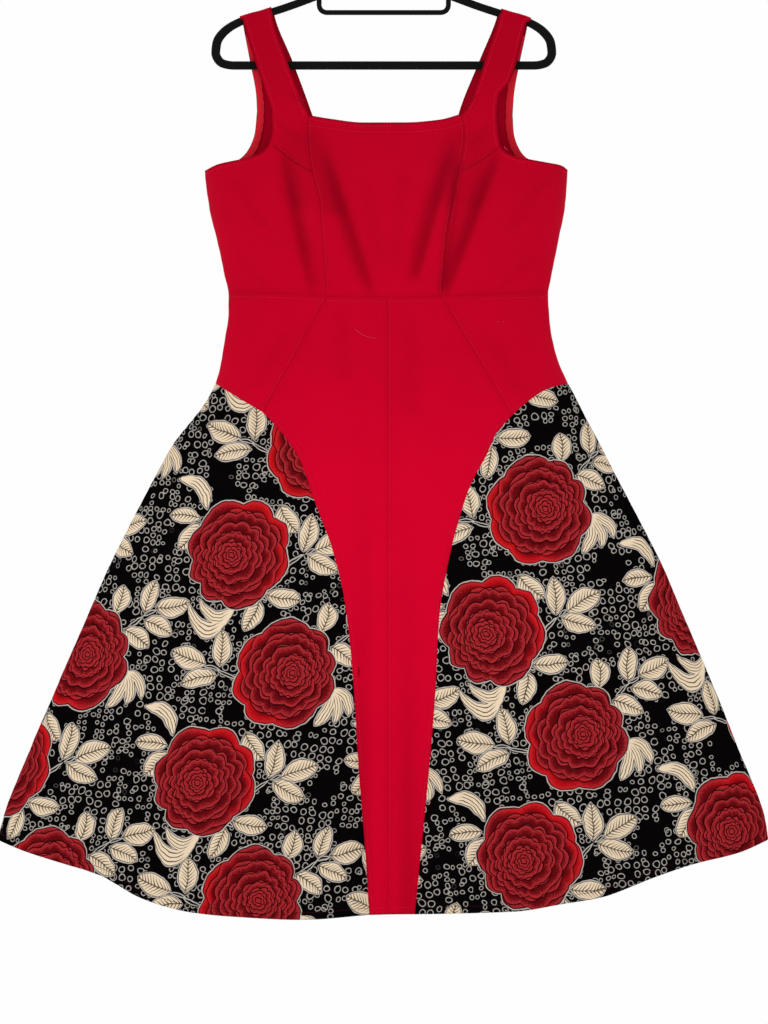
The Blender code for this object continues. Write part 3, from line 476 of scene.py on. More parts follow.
def cloth_normal(face, flat):
    """The cloth's outward direction at flat places."""
    along = raise_cloth(face, flat + (NUDGE, 0.0)) - raise_cloth(face, flat - (NUDGE, 0.0))
    down = raise_cloth(face, flat + (0.0, NUDGE)) - raise_cloth(face, flat - (0.0, NUDGE))
    normal = np.cross(along, down) * face
    return normal / np.linalg.norm(normal, axis=1)[:, None]


def lift(face, flat, out=0.0):
    """Points moved out of the cloth's middle surface by a distance."""
    return raise_cloth(face, flat) + cloth_normal(face, flat) * np.reshape(out, (-1, 1))


print("flat hem reach:", flat_reach(FRONT, 1225.0, 1).round(1), "mm")

# %% Outline helpers
def trace(rows, spacing):
    """Evenly spaced points on a smooth line through the rows of a seam."""
    rows = np.asarray(rows, float)
    length = run(rows)
    count = max(2, int(round(length[-1] / spacing)) + 1)
    at = np.linspace(0.0, length[-1], count)
    return np.column_stack([curve(at, length, rows[:, 0]), curve(at, length, rows[:, 1])])


def side_seam(face, side, top, bottom, spacing=EDGE_MESH):
    """Flat points down a side seam."""
    count = max(2, int(round((bottom - top) / spacing)) + 1)
    drop = np.linspace(top, bottom, count)
    return np.column_stack([side * flat_reach(face, drop, side), drop])


TURN_ROWS = 8
TURN_COLUMNS = 12


def turn_line(face, start, end, turned):
    """Flat points across a strap where it turns over the hanger's arm."""
    x = np.linspace(start[0], end[0], TURN_COLUMNS)
    drop = shoulder(x) - STRAP_TURN * math.pi / 2 * turned
    return np.column_stack([flatten(face, np.column_stack([x, shoulder(x)]))[:, 0], drop])


def edge(face, rows):
    """A seam line as flat places."""
    return flatten(face, trace(rows, EDGE_MESH))


def strap_edge(face, rows):
    """Flat points down one edge of a strap, from the shoulder line at its top."""
    shares = np.linspace(1.0, 0.0, TURN_ROWS + 1)
    over = np.vstack([turn_line(face, rows[0], rows[0], share)[:1] for share in shares])
    points = trace(rows, EDGE_MESH)
    below = points[points[:, 1] > shoulder(points[:, 0]) + EDGE_MESH * 0.4]
    return np.vstack([over, flatten(face, below)])


def strap_turn(face, inner, outer):
    """Places inside a strap where it turns over the arm."""
    shares = np.linspace(1.0, 0.0, TURN_ROWS + 1)[1:]
    return np.vstack([turn_line(face, inner, outer, share)[1:-1] for share in shares])


SAME_POINT = 0.3


def join_edges(*edges):
    """One closed outline from edges that follow each other, with each corner once."""
    outline = [edges[0][0]]
    for edge in edges:
        for point in edge:
            if np.hypot(*(point - outline[-1])) > SAME_POINT:
                outline.append(point)
    if np.hypot(*(outline[0] - outline[-1])) < SAME_POINT:
        outline.pop()
    return np.array(outline)


def signed_area(outline):
    """The area of an outline, negative where it runs the other way round."""
    after = np.roll(outline, -1, axis=0)
    return np.sum(outline[:, 0] * after[:, 1] - after[:, 0] * outline[:, 1]) / 2


def inset(outline, distance):
    """The outline moved inward by a distance."""
    before = np.roll(outline, 1, axis=0)
    after = np.roll(outline, -1, axis=0)
    turn = np.sign(signed_area(outline))
    first = sideways(outline - before) * turn
    second = sideways(after - outline) * turn
    middle = first + second
    scale = 2 / np.maximum(np.sum(middle * middle, axis=1), 0.6)
    return outline + middle * scale[:, None] * distance


CHUNK = 1500


def in_chunks(work, points):
    """Run a test on a few points at a time, to spare memory."""
    if not len(points):
        return np.zeros(0)
    return np.concatenate([work(points[k:k + CHUNK]) for k in range(0, len(points), CHUNK)])


def inside(points, outline):
    """Which points lie inside the outline."""
    a = outline
    b = np.roll(outline, -1, axis=0)
    rise = np.where(b[:, 1] == a[:, 1], 1e-9, b[:, 1] - a[:, 1])

    def work(some):
        x = some[:, 0][:, None]
        y = some[:, 1][:, None]
        spans = (a[:, 1] > y) != (b[:, 1] > y)
        crosses = spans & (x < (b[:, 0] - a[:, 0]) * (y - a[:, 1]) / rise + a[:, 0])
        return crosses.sum(axis=1) % 2 == 1

    return in_chunks(work, points).astype(bool)


def distance_to(points, line, closed=True):
    """Shortest distance from each point to a line."""
    a = line if closed else line[:-1]
    edge = (np.roll(line, -1, axis=0) if closed else line[1:]) - a
    size = np.maximum((edge ** 2).sum(axis=1), 1e-9)

    def work(some):
        offset = some[:, None, :] - a[None, :, :]
        along = np.clip((offset * edge).sum(axis=2) / size, 0.0, 1.0)
        return np.sqrt(((offset - along[:, :, None] * edge) ** 2).sum(axis=2)).min(axis=1)

    return in_chunks(work, points)


def fill(outline, spacing, extra):
    """Flat places inside the outline in staggered rows, and the triangles between them."""
    low = outline.min(axis=0)
    high = outline.max(axis=0)
    grid = []
    rows = np.arange(low[1] + spacing / 2, high[1], spacing * 0.87)
    for index, row in enumerate(rows):
        start = low[0] + spacing * (0.25 + 0.5 * (index % 2))
        across = np.arange(start, high[0], spacing)
        grid.append(np.column_stack([across, np.full(len(across), row)]))
    grid = np.vstack(grid)
    grid = grid[inside(grid, outline)]
    grid = grid[distance_to(grid, outline) > spacing * 0.45 + ROWS_IN[-1]]
    extra = extra[inside(extra, outline)]
    extra = extra[distance_to(extra, outline) > ROWS_IN[0] * 0.9]
    kept = np.ones(len(grid), bool)
    for k in range(0, len(grid), CHUNK):
        part = grid[k:k + CHUNK]
        near = extra[(extra[:, 1] > part[:, 1].min() - spacing) & (extra[:, 1] < part[:, 1].max() + spacing)]
        if len(near):
            apart = ((part[:, None, :] - near[None, :, :]) ** 2).sum(axis=2).min(axis=1)
            kept[k:k + CHUNK] = apart > (spacing * 0.4) ** 2
    places = np.vstack([outline, extra, grid[kept]])
    ring = [(k, (k + 1) % len(outline)) for k in range(len(outline))]
    made = delaunay_2d_cdt([Vector(p) for p in places], ring, [], 1, 1e-5)
    flat = np.array([tuple(p) for p in made[0]])
    edges = {pair for face in made[2] for pair in zip(face, face[1:] + face[:1])}
    rim = [(a, b) for a, b in edges if (b, a) not in edges]
    return flat, [tuple(face) for face in made[2]], rim


ROWS_IN = (1.4, 3.4)
print("outline helpers ready")

# %% [markdown]
# ## Finishes from nodes
#
# Every finish is worked out by shader nodes, so it stays sharp at any distance and needs no
# picture. A print takes hundreds of small sums. The little class below writes each sum as a Math
# node, so that the drawing can be read as ordinary arithmetic.

# %% Node arithmetic
class Field:
    """A number at each place of a surface: the output of a node."""

    def __init__(self, tree, socket):
        self.tree = tree
        self.socket = socket

    def math(self, operation, *others, swapped=False):
        made = self.tree.nodes.new("ShaderNodeMath")
        made.operation = operation
        values = (others[0], self) if swapped else (self, *others)
        for place, value in enumerate(values):
            plug(self.tree, value, made.inputs[place])
        return Field(self.tree, made.outputs[0])

    def __add__(self, other):
        return self.math("ADD", other)

    def __sub__(self, other):
        return self.math("SUBTRACT", other)

    def __rsub__(self, other):
        return self.math("SUBTRACT", other, swapped=True)

    def __mul__(self, other):
        return self.math("MULTIPLY", other)

    def times_plus(self, factor, extra):
        return self.math("MULTIPLY_ADD", factor, extra)

    def least(self, other):
        return self.math("MINIMUM", other)

    def most(self, other):
        return self.math("MAXIMUM", other)

    def above(self, other):
        return self.math("GREATER_THAN", other)

    def ease(self, start, end):
        """0 before start and 1 after end, eased between them."""
        made = node(self.tree, "ShaderNodeMapRange", {"Value": self, "From Min": start, "From Max": end},
                    interpolation_type="SMOOTHSTEP")
        return Field(self.tree, made.outputs["Result"])


def plug(tree, value, socket):
    """Link a field, a node or a socket to an input, or set the input's own value."""
    if isinstance(value, Field):
        tree.links.new(value.socket, socket)
    elif isinstance(value, bpy.types.NodeSocket):
        tree.links.new(value, socket)
    elif isinstance(value, bpy.types.Node):
        tree.links.new(value.outputs[0], socket)
    else:
        socket.default_value = value


def node(tree, kind, inputs=None, **settings):
    """A new node with its settings and inputs."""
    made = tree.nodes.new(kind)
    for key, value in settings.items():
        setattr(made, key, value)
    for key, value in (inputs or {}).items():
        plug(tree, value, made.inputs[key])
    return made


def colour(red, green, blue):
    """A display colour of 0 to 255 as the linear colour that nodes work in."""
    parts = [v / 255 for v in (red, green, blue)]
    return (*[v / 12.92 if v <= 0.04045 else ((v + 0.055) / 1.055) ** 2.4 for v in parts], 1.0)


def mix(tree, kind, factor, first, second):
    """A colour or a vector between two."""
    made = node(tree, "ShaderNodeMix", data_type=kind)
    inputs, output = {"VECTOR": ((4, 5), 1), "RGBA": ((6, 7), 2)}[kind]
    for value, place in zip((factor, first, second), (0, *inputs)):
        plug(tree, value, made.inputs[place])
    return made.outputs[output]


def blend(tree, factor, first, second):
    """A colour between two colours."""
    return mix(tree, "RGBA", factor, first, second)


def numbers(tree, vector):
    """The three numbers of a vector."""
    return [Field(tree, socket) for socket in node(tree, "ShaderNodeSeparateXYZ", {0: vector}).outputs]


def noise(tree, place, scale, detail, output=0):
    """Cloudy noise: its height, or its colour as output 1."""
    made = node(tree, "ShaderNodeTexNoise", {"Vector": place, "Scale": scale, "Detail": detail})
    return Field(tree, made.outputs[output])


def vector_size(tree, vector):
    """How long a vector is."""
    return Field(tree, node(tree, "ShaderNodeVectorMath", {0: vector}, operation="LENGTH").outputs["Value"])


def new_finish(name, roughness, sheen=0.0, metallic=0.0, specular=0.08):
    """A material with its principled shader's constants set."""
    made = bpy.data.materials.new(name)
    made.use_nodes = True
    shader = made.node_tree.nodes["Principled BSDF"]
    shader.inputs["Roughness"].default_value = roughness
    shader.inputs["Metallic"].default_value = metallic
    shader.inputs["Sheen Weight"].default_value = sheen
    shader.inputs["Sheen Roughness"].default_value = 0.5
    shader.inputs["Specular IOR Level"].default_value = specular
    return made, made.node_tree, shader


print("a mid red as linear colour:", [round(v, 3) for v in colour(195, 0, 36)[:3]])

# %% [markdown]
# ## Plain red cotton
#
# The bodice, the yoke and the centre panels are one matt red cotton. Its threads are finer than
# a pixel, so what shows is a slight unevenness of colour and slubs along both thread directions.
# Shade is painted into the red: a deeper red inside the creases and folds, along the seams, darts
# and turned edges, towards the side seams, and by drop, most over the straps and upper bodice.
# The mesh carries that painted shade as an attribute, which darkens the print too. A small worn
# mark on the left centre panel is drawn at its place on the cut.

# %% Red cotton
def cloth_place(tree):
    """The flat place on the cloth, in millimetres."""
    cut = node(tree, "ShaderNodeUVMap", uv_map="cut")
    return node(tree, "ShaderNodeVectorMath", {0: cut, 3: 1000.0}, operation="SCALE")


def slubs(tree, place, across, along):
    """Thread unevenness, longer one way than the other."""
    scaled = node(tree, "ShaderNodeMapping", {0: place, 3: (across, along, 1.0)})
    return noise(tree, scaled, 1.0, 2.0)


def weave_bump(tree, place, strength, depth):
    """A bump of warp and weft."""
    height = slubs(tree, place, 1.3, 0.12) + slubs(tree, place, 0.12, 1.3)
    height = height + slubs(tree, place, 1.1, 1.1) * 0.7
    return node(tree, "ShaderNodeBump", {"Strength": strength, "Distance": depth, "Height": height})


MARK = (-37.6, 1008.0, 1.5, 8.0)
WEAVE_DEPTH = 0.0004


def dark_mark(tree, place, across, drop, half_width, half_length):
    """How much of a small worn mark shows at a place, from 0 to 1."""
    own = node(tree, "ShaderNodeMapping", {0: place, 1: (across, drop, 0.0), 3: (half_width, half_length, 1.0)},
               vector_type="TEXTURE")
    return vector_size(tree, own).ease(1.1, 0.3)


def painted_shade_depth(tree):
    """How much shade is painted at a place, from 0 to 1, as its mesh carries it."""
    return Field(tree, node(tree, "ShaderNodeAttribute", attribute_name="painted_shade_and_wear").outputs["Fac"])


def finish_cloth(tree, shader, place, mixed, light, bump):
    """Give a cloth its colour, made lighter or darker, and its weave."""
    varied = node(tree, "ShaderNodeVectorMath", {0: mixed, 3: light}, operation="SCALE")
    plug(tree, varied, shader.inputs["Base Color"])
    plug(tree, weave_bump(tree, place, bump, WEAVE_DEPTH), shader.inputs["Normal"])


def plain_cotton(name, base, deep, roughness, mark=None):
    """Matt plain-weave cotton in one colour, darkened towards its second colour where shade is painted."""
    made, tree, shader = new_finish(name, roughness, sheen=0.05, specular=0.2)
    shader.inputs["Specular Tint"].default_value = (1.0, 0.06, 0.12, 1.0)
    shader.inputs["Sheen Tint"].default_value = (1.0, 0.04, 0.1, 1.0)
    place = cloth_place(tree)
    wide = noise(tree, place, 0.018, 3.0)
    fine = slubs(tree, place, 0.8, 0.07) + slubs(tree, place, 0.07, 0.8)
    light = wide.times_plus(0.10, 0.95) + (fine - 1.0) * 0.10
    painted_shade_and_wear = painted_shade_depth(tree)
    if mark:
        painted_shade_and_wear = painted_shade_and_wear + dark_mark(tree, place, *mark) * 0.7
    # the red darkens towards its second colour where shade is painted, and at the worn mark
    mixed = blend(tree, painted_shade_and_wear, base, deep)
    finish_cloth(tree, shader, place, mixed, light, 0.35)
    return made


# the second red is the colour of the painted shade
red_cotton = plain_cotton("red_cotton_weave", colour(202, 0, 39), colour(104, 0, 8), 0.78, MARK)
binding_cotton = plain_cotton("binding_cotton_weave", colour(214, 34, 50), colour(150, 10, 25), 0.8)
print("plain cottons:", red_cotton.name, binding_cotton.name)

# %% [markdown]
# ## The rose print
#
# The skirt's side panels are a dark cotton printed with roses, leafy sprigs, curled cream lobes
# and clusters of small rings. A repeat of 274 by 294 mm holds two roses. Each flower is twelve
# scalloped rings of petals: the nodes find how far a place lies inside the innermost ring that
# holds it, and a ramp turns that distance into a dark line, a bright rim and a stippled base.
# Leaves are bent pointed ovals with a midrib and herringbone veins. All of it is drawn here from
# short lists of places and sizes.

# %% Motif lists
REPEAT = (274.0, 294.0)
ROSE_PLACES = ((0.0, 0.0, 0.0), (102.0, 144.0, 3.3))
ROSE_STRETCH = (1.09, 1.155, 1.0)
PETAL_RINGS = [
    # radius, petals, depth, phase, how far off centre, towards which angle
    (62, 8, 0.11, 0.3, 9.5, -0.4),
    (55.5, 10, 0.10, 1.1, 9, 0.1),
    (49, 11, 0.10, 0.2, 8, -0.5),
    (42.5, 12, 0.10, 0.9, 6.5, 0.2),
    (36.5, 11, 0.11, 0.1, 5, -0.8),
    (31, 11, 0.11, 0.7, 4, 0.6),
    (25.5, 10, 0.12, 1.4, 3, -1.2),
    (20.5, 9, 0.13, 0.4, 2, 1.6),
    (16, 8, 0.15, 1.2, 1.5, 3),
    (11.8, 7, 0.17, 0, 1, 0),
    (7.8, 6, 0.19, 0.8, 0.5, 1),
    (4.2, 4, 0.22, 0.3, 0, 0),
]
LEAVES = [
    # base across, base down, direction in degrees, length, half-width, bend
    (94, -13, -84, 49, 12.5, 0.20),
    (107, -17, -23, 50, 14, -0.15),
    (97, -7, 22, 48, 12.5, 0.20),
    (-104, 84, -79, 44, 11.5, -0.15),
    (-88, 80, -17, 45, 13.5, 0.16),
    (-101, 91, 21, 43, 12, -0.2),
    (-12, 143, 196, 49, 14, -0.15),
    (9, 143, -96, 47, 12.5, 0.18),
    (5, 153, 163, 49, 11.5, 0.2),
    (52, 47, 6, 47, 12.4, 0.2),
    (47, 54, 108, 45, 11.5, -0.2),
    (50, -68, 49, 45, 13, 0.3),
    (-47, -46, 179, 42, 10.5, 0.15),
    (-44, -36, 126, 43, 13, -0.2),
    (134, 88, -82, 38, 12.5, 0.25),
    (147, 104, 30, 44, 12, -0.22),
]
LOBES = [
    # base across, base down, direction in degrees, length, half-width, bend
    (14, 100, 182, 64, 11, -2.1),
    (16, 82, 182, 50, 8.5, -1.6),
    (164, 154, 52, 44, 7, -0.8),
    (163, 160, 78, 44, 6.8, -0.5),
    (163, 164, 109, 50, 7.5, -0.6),
    (-76, -103, 39, 57, 9, -0.96),
]
RING_LAYERS = [
    # cells per mm, least radius, spread of radius, stroke, from and to which noise level
    (0.085, 2.9, 1.4, 0.80, 0.50, 2),
    (0.118, 2.2, 0.8, 0.72, 0.41, 0.50),
]
RINGS_LEFT_OUT = 0.1
RING_GRID = 0.36
PATCH_SCALE = 0.019
PATCH_EDGE = 0.005
OUTSIDE = 1000.0
WOBBLE = (7.0, 7.0, 0.0)
STEMS = [
    # base across, base down, direction in degrees, length, half-width, bend
    (65, 14, -41, 35, 1.7, 0),
    (-128, 110, -42, 32, 1.7, 0),
    (5, 148, 22, 26, 1.7, 0),
    (44, 47, 30, 12, 1.7, 0),
    (95, -11, -29, 14, 1.6, 0),
    (-103, 87, -25, 16, 1.6, 0),
    (7, 147, 188, 20, 1.6, 0),
]
BLACK = colour(7, 5, 6)
PALE = colour(186, 179, 171)
RING_LINE = colour(168, 162, 154)
CREAM = colour(230, 208, 178)
LINE = colour(16, 9, 8)
LIT_PETAL = colour(214, 14, 22)
MOTIF_STEPS = (
    # from and to which depth in a leaf or a lobe a colour comes in
    (-1.7, -1.0, BLACK),
    (-1.1, -0.5, PALE),
    (0.3, 0.7, LINE),
    (1.0, 1.6, CREAM),
)
PETAL_REACH = 16
PETAL_SHADES = (
    # share of the ramp's reach inside a petal, and the display colour there
    (0.0, (32, 3, 6)),
    (0.06, (54, 5, 9)),
    (0.10, (164, 42, 47)),
    (0.17, (160, 40, 45)),
    (0.28, (134, 26, 32)),
    (0.42, (100, 12, 17)),
    (1.0, (80, 8, 13)),
)
VEIN_PITCH = 4.6
VEIN_SLANT = 0.9
print("motifs in a repeat:", len(ROSE_PLACES), "roses,", len(LEAVES), "leaves,", len(LOBES), "lobes")


# %% Drawing with nodes
def wrapped(tree, place, centre):
    """The place moved by whole repeats until it lies round a centre."""
    half = [side / 2 for side in REPEAT]
    high = (centre[0] + half[0], centre[1] + half[1], 1.0)
    low = (centre[0] - half[0], centre[1] - half[1], -1.0)
    return node(tree, "ShaderNodeVectorMath", {0: place, 1: high, 2: low}, operation="WRAP")


def pointed_ovals(tree, place, rows, keep_local, blunt=False):
    """Depth inside the nearest of several bent leaves, and the place along and across that leaf."""
    depth = None
    local = None
    for base_x, base_y, degrees, length, width, bend in rows:
        turn = math.radians(degrees)
        middle = (base_x + math.cos(turn) * length / 2, base_y + math.sin(turn) * length / 2)
        near = wrapped(tree, place, middle)
        own = node(tree, "ShaderNodeMapping",
                   {0: near, 1: (*middle, 0.0), 2: (0.0, 0.0, turn), 3: (length / 2, width, 1.0)},
                   vector_type="TEXTURE")
        along, aside, _ = numbers(tree, own)
        square = along * along
        across = square.times_plus(bend * length / width / 4, aside)
        taper = square * square if blunt else square * square.times_plus(0.35, 0.65)
        this = ((1.0 - taper) - across.math("ABSOLUTE")) * width
        packed = None
        if keep_local:
            packed = node(tree, "ShaderNodeCombineXYZ", {0: along * (length / 2), 1: across * width, 2: across})
        if depth is None:
            depth, local = this, packed
        else:
            local = mix(tree, "VECTOR", this.above(depth), local, packed) if keep_local else None
            depth = depth.most(this)
    return depth, local


def nearest_rose(tree, place):
    """Distance and direction from the nearer rose's centre, and how near its edge is."""
    best = None
    for x, y, turn in ROSE_PLACES:
        near = wrapped(tree, place, (x, y))
        own = node(tree, "ShaderNodeMapping",
                   {0: near, 1: (x, y, 0.0), 2: (0.0, 0.0, turn), 3: ROSE_STRETCH}, vector_type="TEXTURE")
        size = vector_size(tree, own)
        if best is None:
            best, spot = size, own
        else:
            spot = mix(tree, "VECTOR", best.above(size), spot, own)
            best = best.least(size)
    across, down, _ = numbers(tree, spot)
    return best, down.math("ARCTAN2", across)


def petals(size, angle):
    """Depth inside the innermost petal ring, and depth inside the whole flower."""
    inner = None
    flower = None
    angle = angle + angle.times_plus(2.0, 1.3).math("SINE") * 0.16
    for radius, count, depth, phase, shift, towards in PETAL_RINGS:
        wave = angle.times_plus(count / 2, phase).math("SINE").math("ABSOLUTE")
        edge = wave.times_plus(radius * depth, radius * (1 - depth))
        edge = (angle - towards).math("COSINE").times_plus(shift, edge)
        this = edge - size
        held = this.math("LESS_THAN", 0.0).times_plus(OUTSIDE, this)
        inner = held if inner is None else inner.least(held)
        flower = this if flower is None else flower
    return inner, flower


print("drawing helpers ready")

# %% Printed cotton
def printed_cotton():
    """Dark cotton printed with roses, leaves, lobes and rings."""
    made, tree, shader = new_finish("rose_print_cotton", 0.8, specular=0.0)
    flat = cloth_place(tree)
    wobble = noise(tree, flat, 0.05, 2.0, output=1)
    moved = node(tree, "ShaderNodeVectorMath", {0: wobble, 1: (0.5, 0.5, 0.5)}, operation="SUBTRACT")
    place = node(tree, "ShaderNodeVectorMath", {0: moved, 1: WOBBLE, 2: flat}, operation="MULTIPLY_ADD")
    stipple = noise(tree, flat, 0.62, 1.0)

    ring = None
    for scale, least, spread, stroke, low, high in RING_LAYERS:
        cells = node(tree, "ShaderNodeTexVoronoi", {"Vector": place, "Scale": scale, "Randomness": RING_GRID},
                     voronoi_dimensions="2D")
        away = Field(tree, cells.outputs["Distance"]) * (1 / scale)
        chance = Field(tree, node(tree, "ShaderNodeSeparateColor", {0: cells.outputs["Color"]}).outputs[0])
        this = (away - chance.times_plus(spread, least)).math("ABSOLUTE").ease(stroke, stroke * 0.35)
        this = this * chance.above(RINGS_LEFT_OUT)
        patch = noise(tree, cells.outputs["Position"], PATCH_SCALE, 1.0)
        this = this * (patch.ease(low, low + PATCH_EDGE) - patch.ease(high, high + PATCH_EDGE))
        ring = this if ring is None else ring.most(this)

    stem = pointed_ovals(tree, place, STEMS, False)[0]
    lobe, lobe_place = pointed_ovals(tree, place, LOBES, True, blunt=True)
    leaf, leaf_place = pointed_ovals(tree, place, LEAVES, True)
    size, angle = nearest_rose(tree, place)
    inner, flower = petals(size, angle)

    covered = stem.most(lobe).most(leaf).most(flower)
    mixed = blend(tree, ring * covered.ease(-1.6, -2.4), BLACK, RING_LINE)
    mixed = blend(tree, stem.ease(-1.1, -0.5), mixed, PALE)
    mixed = blend(tree, stem.ease(0.1, 0.8), mixed, BLACK)
    for depth, local, veined in ((lobe, lobe_place, False), (leaf, leaf_place, True)):
        along, across, share = numbers(tree, local)
        if veined:
            across = across.math("ABSOLUTE")
            share = share.math("ABSOLUTE")
            rib = across.ease(1.1, 0.35)
            slant = (along - across * VEIN_SLANT) * (1 / VEIN_PITCH)
            vein = (slant.math("FRACT") - 0.5).math("ABSOLUTE") + share * 0.24
            marks = rib.most(vein.ease(0.31, 0.14) * share.ease(0.92, 0.70))
        else:
            vein = (share.times_plus(2.0, 0.5).math("FRACT") - 0.5).math("ABSOLUTE")
            marks = vein.ease(0.18, 0.08) * along.ease(-18.0, -9.0)
        for start, end, shade in MOTIF_STEPS:
            mixed = blend(tree, depth.ease(start, end), mixed, shade)
        mixed = blend(tree, marks * depth.ease(1.0, 1.6) * 0.9, mixed, LINE)
    ramp = node(tree, "ShaderNodeValToRGB")
    stops = ramp.color_ramp
    while len(stops.elements) < len(PETAL_SHADES):
        stops.elements.new(0.5)
    for stop, (at, shade) in zip(stops.elements, PETAL_SHADES):
        stop.position = at
        stop.color = colour(*shade)
    speckled = inner + (stipple - 0.5) * inner.ease(1.2, 5.0) * 15.0
    plug(tree, speckled * (1 / PETAL_REACH), ramp.inputs[0])
    sunny = angle.times_plus(1.0, 2.2).math("SINE").ease(0.0, 0.9)
    lit = flower.ease(13.0, 6.0) * inner.ease(0.8, 1.4) * sunny
    outer = blend(tree, lit * 0.5, ramp.outputs[0], LIT_PETAL)
    mixed = blend(tree, flower.ease(-1.7, -1.0), mixed, PALE)
    mixed = blend(tree, flower.ease(-0.5, 0.1), mixed, outer)

    tone = slubs(tree, flat, 0.9, 0.08) + slubs(tree, flat, 0.08, 0.9)
    # the cloth's random tone, darkened where shade is painted
    light = (tone - 1.0).times_plus(0.12, 1.0) - painted_shade_depth(tree) * 0.35
    finish_cloth(tree, shader, flat, mixed, light, 0.3)
    print("nodes in the print:", len(tree.nodes))
    return made


rose_print = printed_cotton()

# %% [markdown]
# ## Hanger, hook and thread
#
# The hanger is moulded plastic covered with short black pile, which scatters light at its edges
# like velvet: a sheen over a nearly black base does that. The hook is polished steel wire. The
# topstitching is a slightly lighter red thread.

# %% Other finishes
def flock():
    """Short black velvet pile."""
    made, tree, shader = new_finish("black_flock_pile", 0.95, sheen=0.04)
    shader.inputs["Base Color"].default_value = colour(12, 12, 13)
    place = node(tree, "ShaderNodeTexCoord").outputs["Object"]
    pile = noise(tree, place, 1400.0, 3.0)
    bump = node(tree, "ShaderNodeBump", {"Strength": 0.6, "Distance": 0.0004, "Height": pile})
    plug(tree, bump, shader.inputs["Normal"])
    return made


def one_colour(name, base, roughness, **settings):
    """A finish in one even colour."""
    made, _, shader = new_finish(name, roughness, **settings)
    shader.inputs["Base Color"].default_value = base
    return made


black_flock = flock()
steel = one_colour("polished_steel", (0.62, 0.62, 0.63, 1.0), 0.22, metallic=1.0, specular=0.5)
red_thread = one_colour("red_thread", colour(210, 22, 56), 0.6)
lint = one_colour("pale_lint", colour(212, 48, 78), 0.8)
dark_thread = one_colour("dark_thread", colour(62, 10, 20), 0.6)
print("finishes:", len(bpy.data.materials))

# %% [markdown]
# ## Sewing a piece
#
# Each cut piece is an outline, filled with small triangles, lifted onto the tube and closed into a
# thin shell. Close to a sewn edge the cloth dips into the seam and swells beside it. Close to a
# turned edge it is double and slightly pressed by its topstitching. Neighbours share an edge line,
# so the dips meet in one groove, as on a real seam.

# %% Relief
# soft ridges beside a line: height or painted shade, distance from the line, width; the shade rows paint a
# darker red along seams, turned edges and darts
SEAM_FORM = ((-0.45, 0, 1.1), (0.3, 4, 2.4))
TURNED_FORM = ((-0.3, 5, 1.2),)
DART_FORM = ((-0.7, 0, 1.5), (0.5, 4, 2.5))
SEAM_SHADE = ((0.1, 0, 1.2), (0.06, 0, 7))
TURNED_SHADE = ((0.55, 0, 1.4),)
DART_SHADE = ((0.22, 0, 1.6),)
TURNED_STEP = 0.35
TURNED_WIDTH = 6.0
FAR_OFF = 99.0
RIPPLE_WIDE = 0.55
RIPPLE_SMALL = 0.12
RIPPLE_TOP = 240.0
RIPPLE_BLEND = 60.0
GROOVE = 0.004
# painted shade by drop: darkest over the straps and upper bodice, none at the hips, a little towards the hem
PAINTED_SHADE_BY_DROP = np.array([
    # drop, how much painted shade darkens the red there
    (130, 0.47),
    (220, 0.45),
    (290, 0.36),
    (380, 0.30),
    (450, 0.24),
    (520, 0.22),
    (600, 0.20),
    (680, 0.12),
    (800, 0),
    (1000, 0.02),
    (1180, 0.12),
    (1340, 0.14),
])
# painted shade towards the side seams, where the cloth turns away from the light
PAINTED_SIDE_SHADE = 0.08
# painted shade of a crease or a fold of the bodice: how far in it lies when its painted shade is darkest, and
# how dark it is there
CREASE_SHADE = (4.5, 0.5)
FOLD_SHADE = (4.2, 0.12)


def ripple(flat):
    """Slight unevenness of the whole cloth."""
    x = flat[:, 0]
    y = flat[:, 1]
    wide = np.sin(x / 31.0 + 1.3 * np.sin(y / 47.0)) * np.sin(y / 39.0 + 1.1 * np.sin(x / 53.0))
    small = np.sin(x / 11.0 + 1.7 * np.sin(y / 19.0)) * np.sin(y / 14.0 + np.sin(x / 17.0))
    return RIPPLE_WIDE * wide + RIPPLE_SMALL * small


def puckers(flat, away):
    """Small gathers along a seam, where the thread pulls the cloth."""
    wave = np.sin(flat[:, 0] / 2.9 + 1.4 * np.sin(flat[:, 1] / 13.0)) + np.sin(
        flat[:, 1] / 3.1 + 1.6 * np.sin(flat[:, 0] / 15.0))
    return 0.11 * wave * np.exp(-((away - 4.0) / 6.0) ** 2)


def ridges(start, away, rows):
    """A value with soft ridges added at distances from a line."""
    for height, middle, width in rows:
        start = start + height * np.exp(-((away - middle) / width) ** 2)
    return start


def relief(flat, outline, free, darts):
    """How far the cloth stands out near its edges and darts, and how much shade is painted there."""
    away = distance_to(flat, outline)
    turned = np.full(len(flat), FAR_OFF)
    for line in free:
        turned = np.minimum(turned, distance_to(flat, line, closed=False))
    sewn = np.where(turned < away + 0.05, FAR_OFF, away)
    out = ridges(0.0, sewn, SEAM_FORM) + TURNED_STEP * (1 - smooth_step((turned - TURNED_WIDTH) / 3.0))
    out = ridges(out, turned, TURNED_FORM) + puckers(flat, away)
    dark = ridges(ridges(0.0, sewn, SEAM_SHADE), turned, TURNED_SHADE)
    for line in darts:
        close = distance_to(flat, line, closed=False)
        out = ridges(out, close, DART_FORM)
        dark = ridges(dark, close, DART_SHADE)
    return out, dark


def shaded(out, shade):
    """How dark a place is that lies so far out."""
    full, most = shade
    return np.clip(-out / full, 0, 1) * most


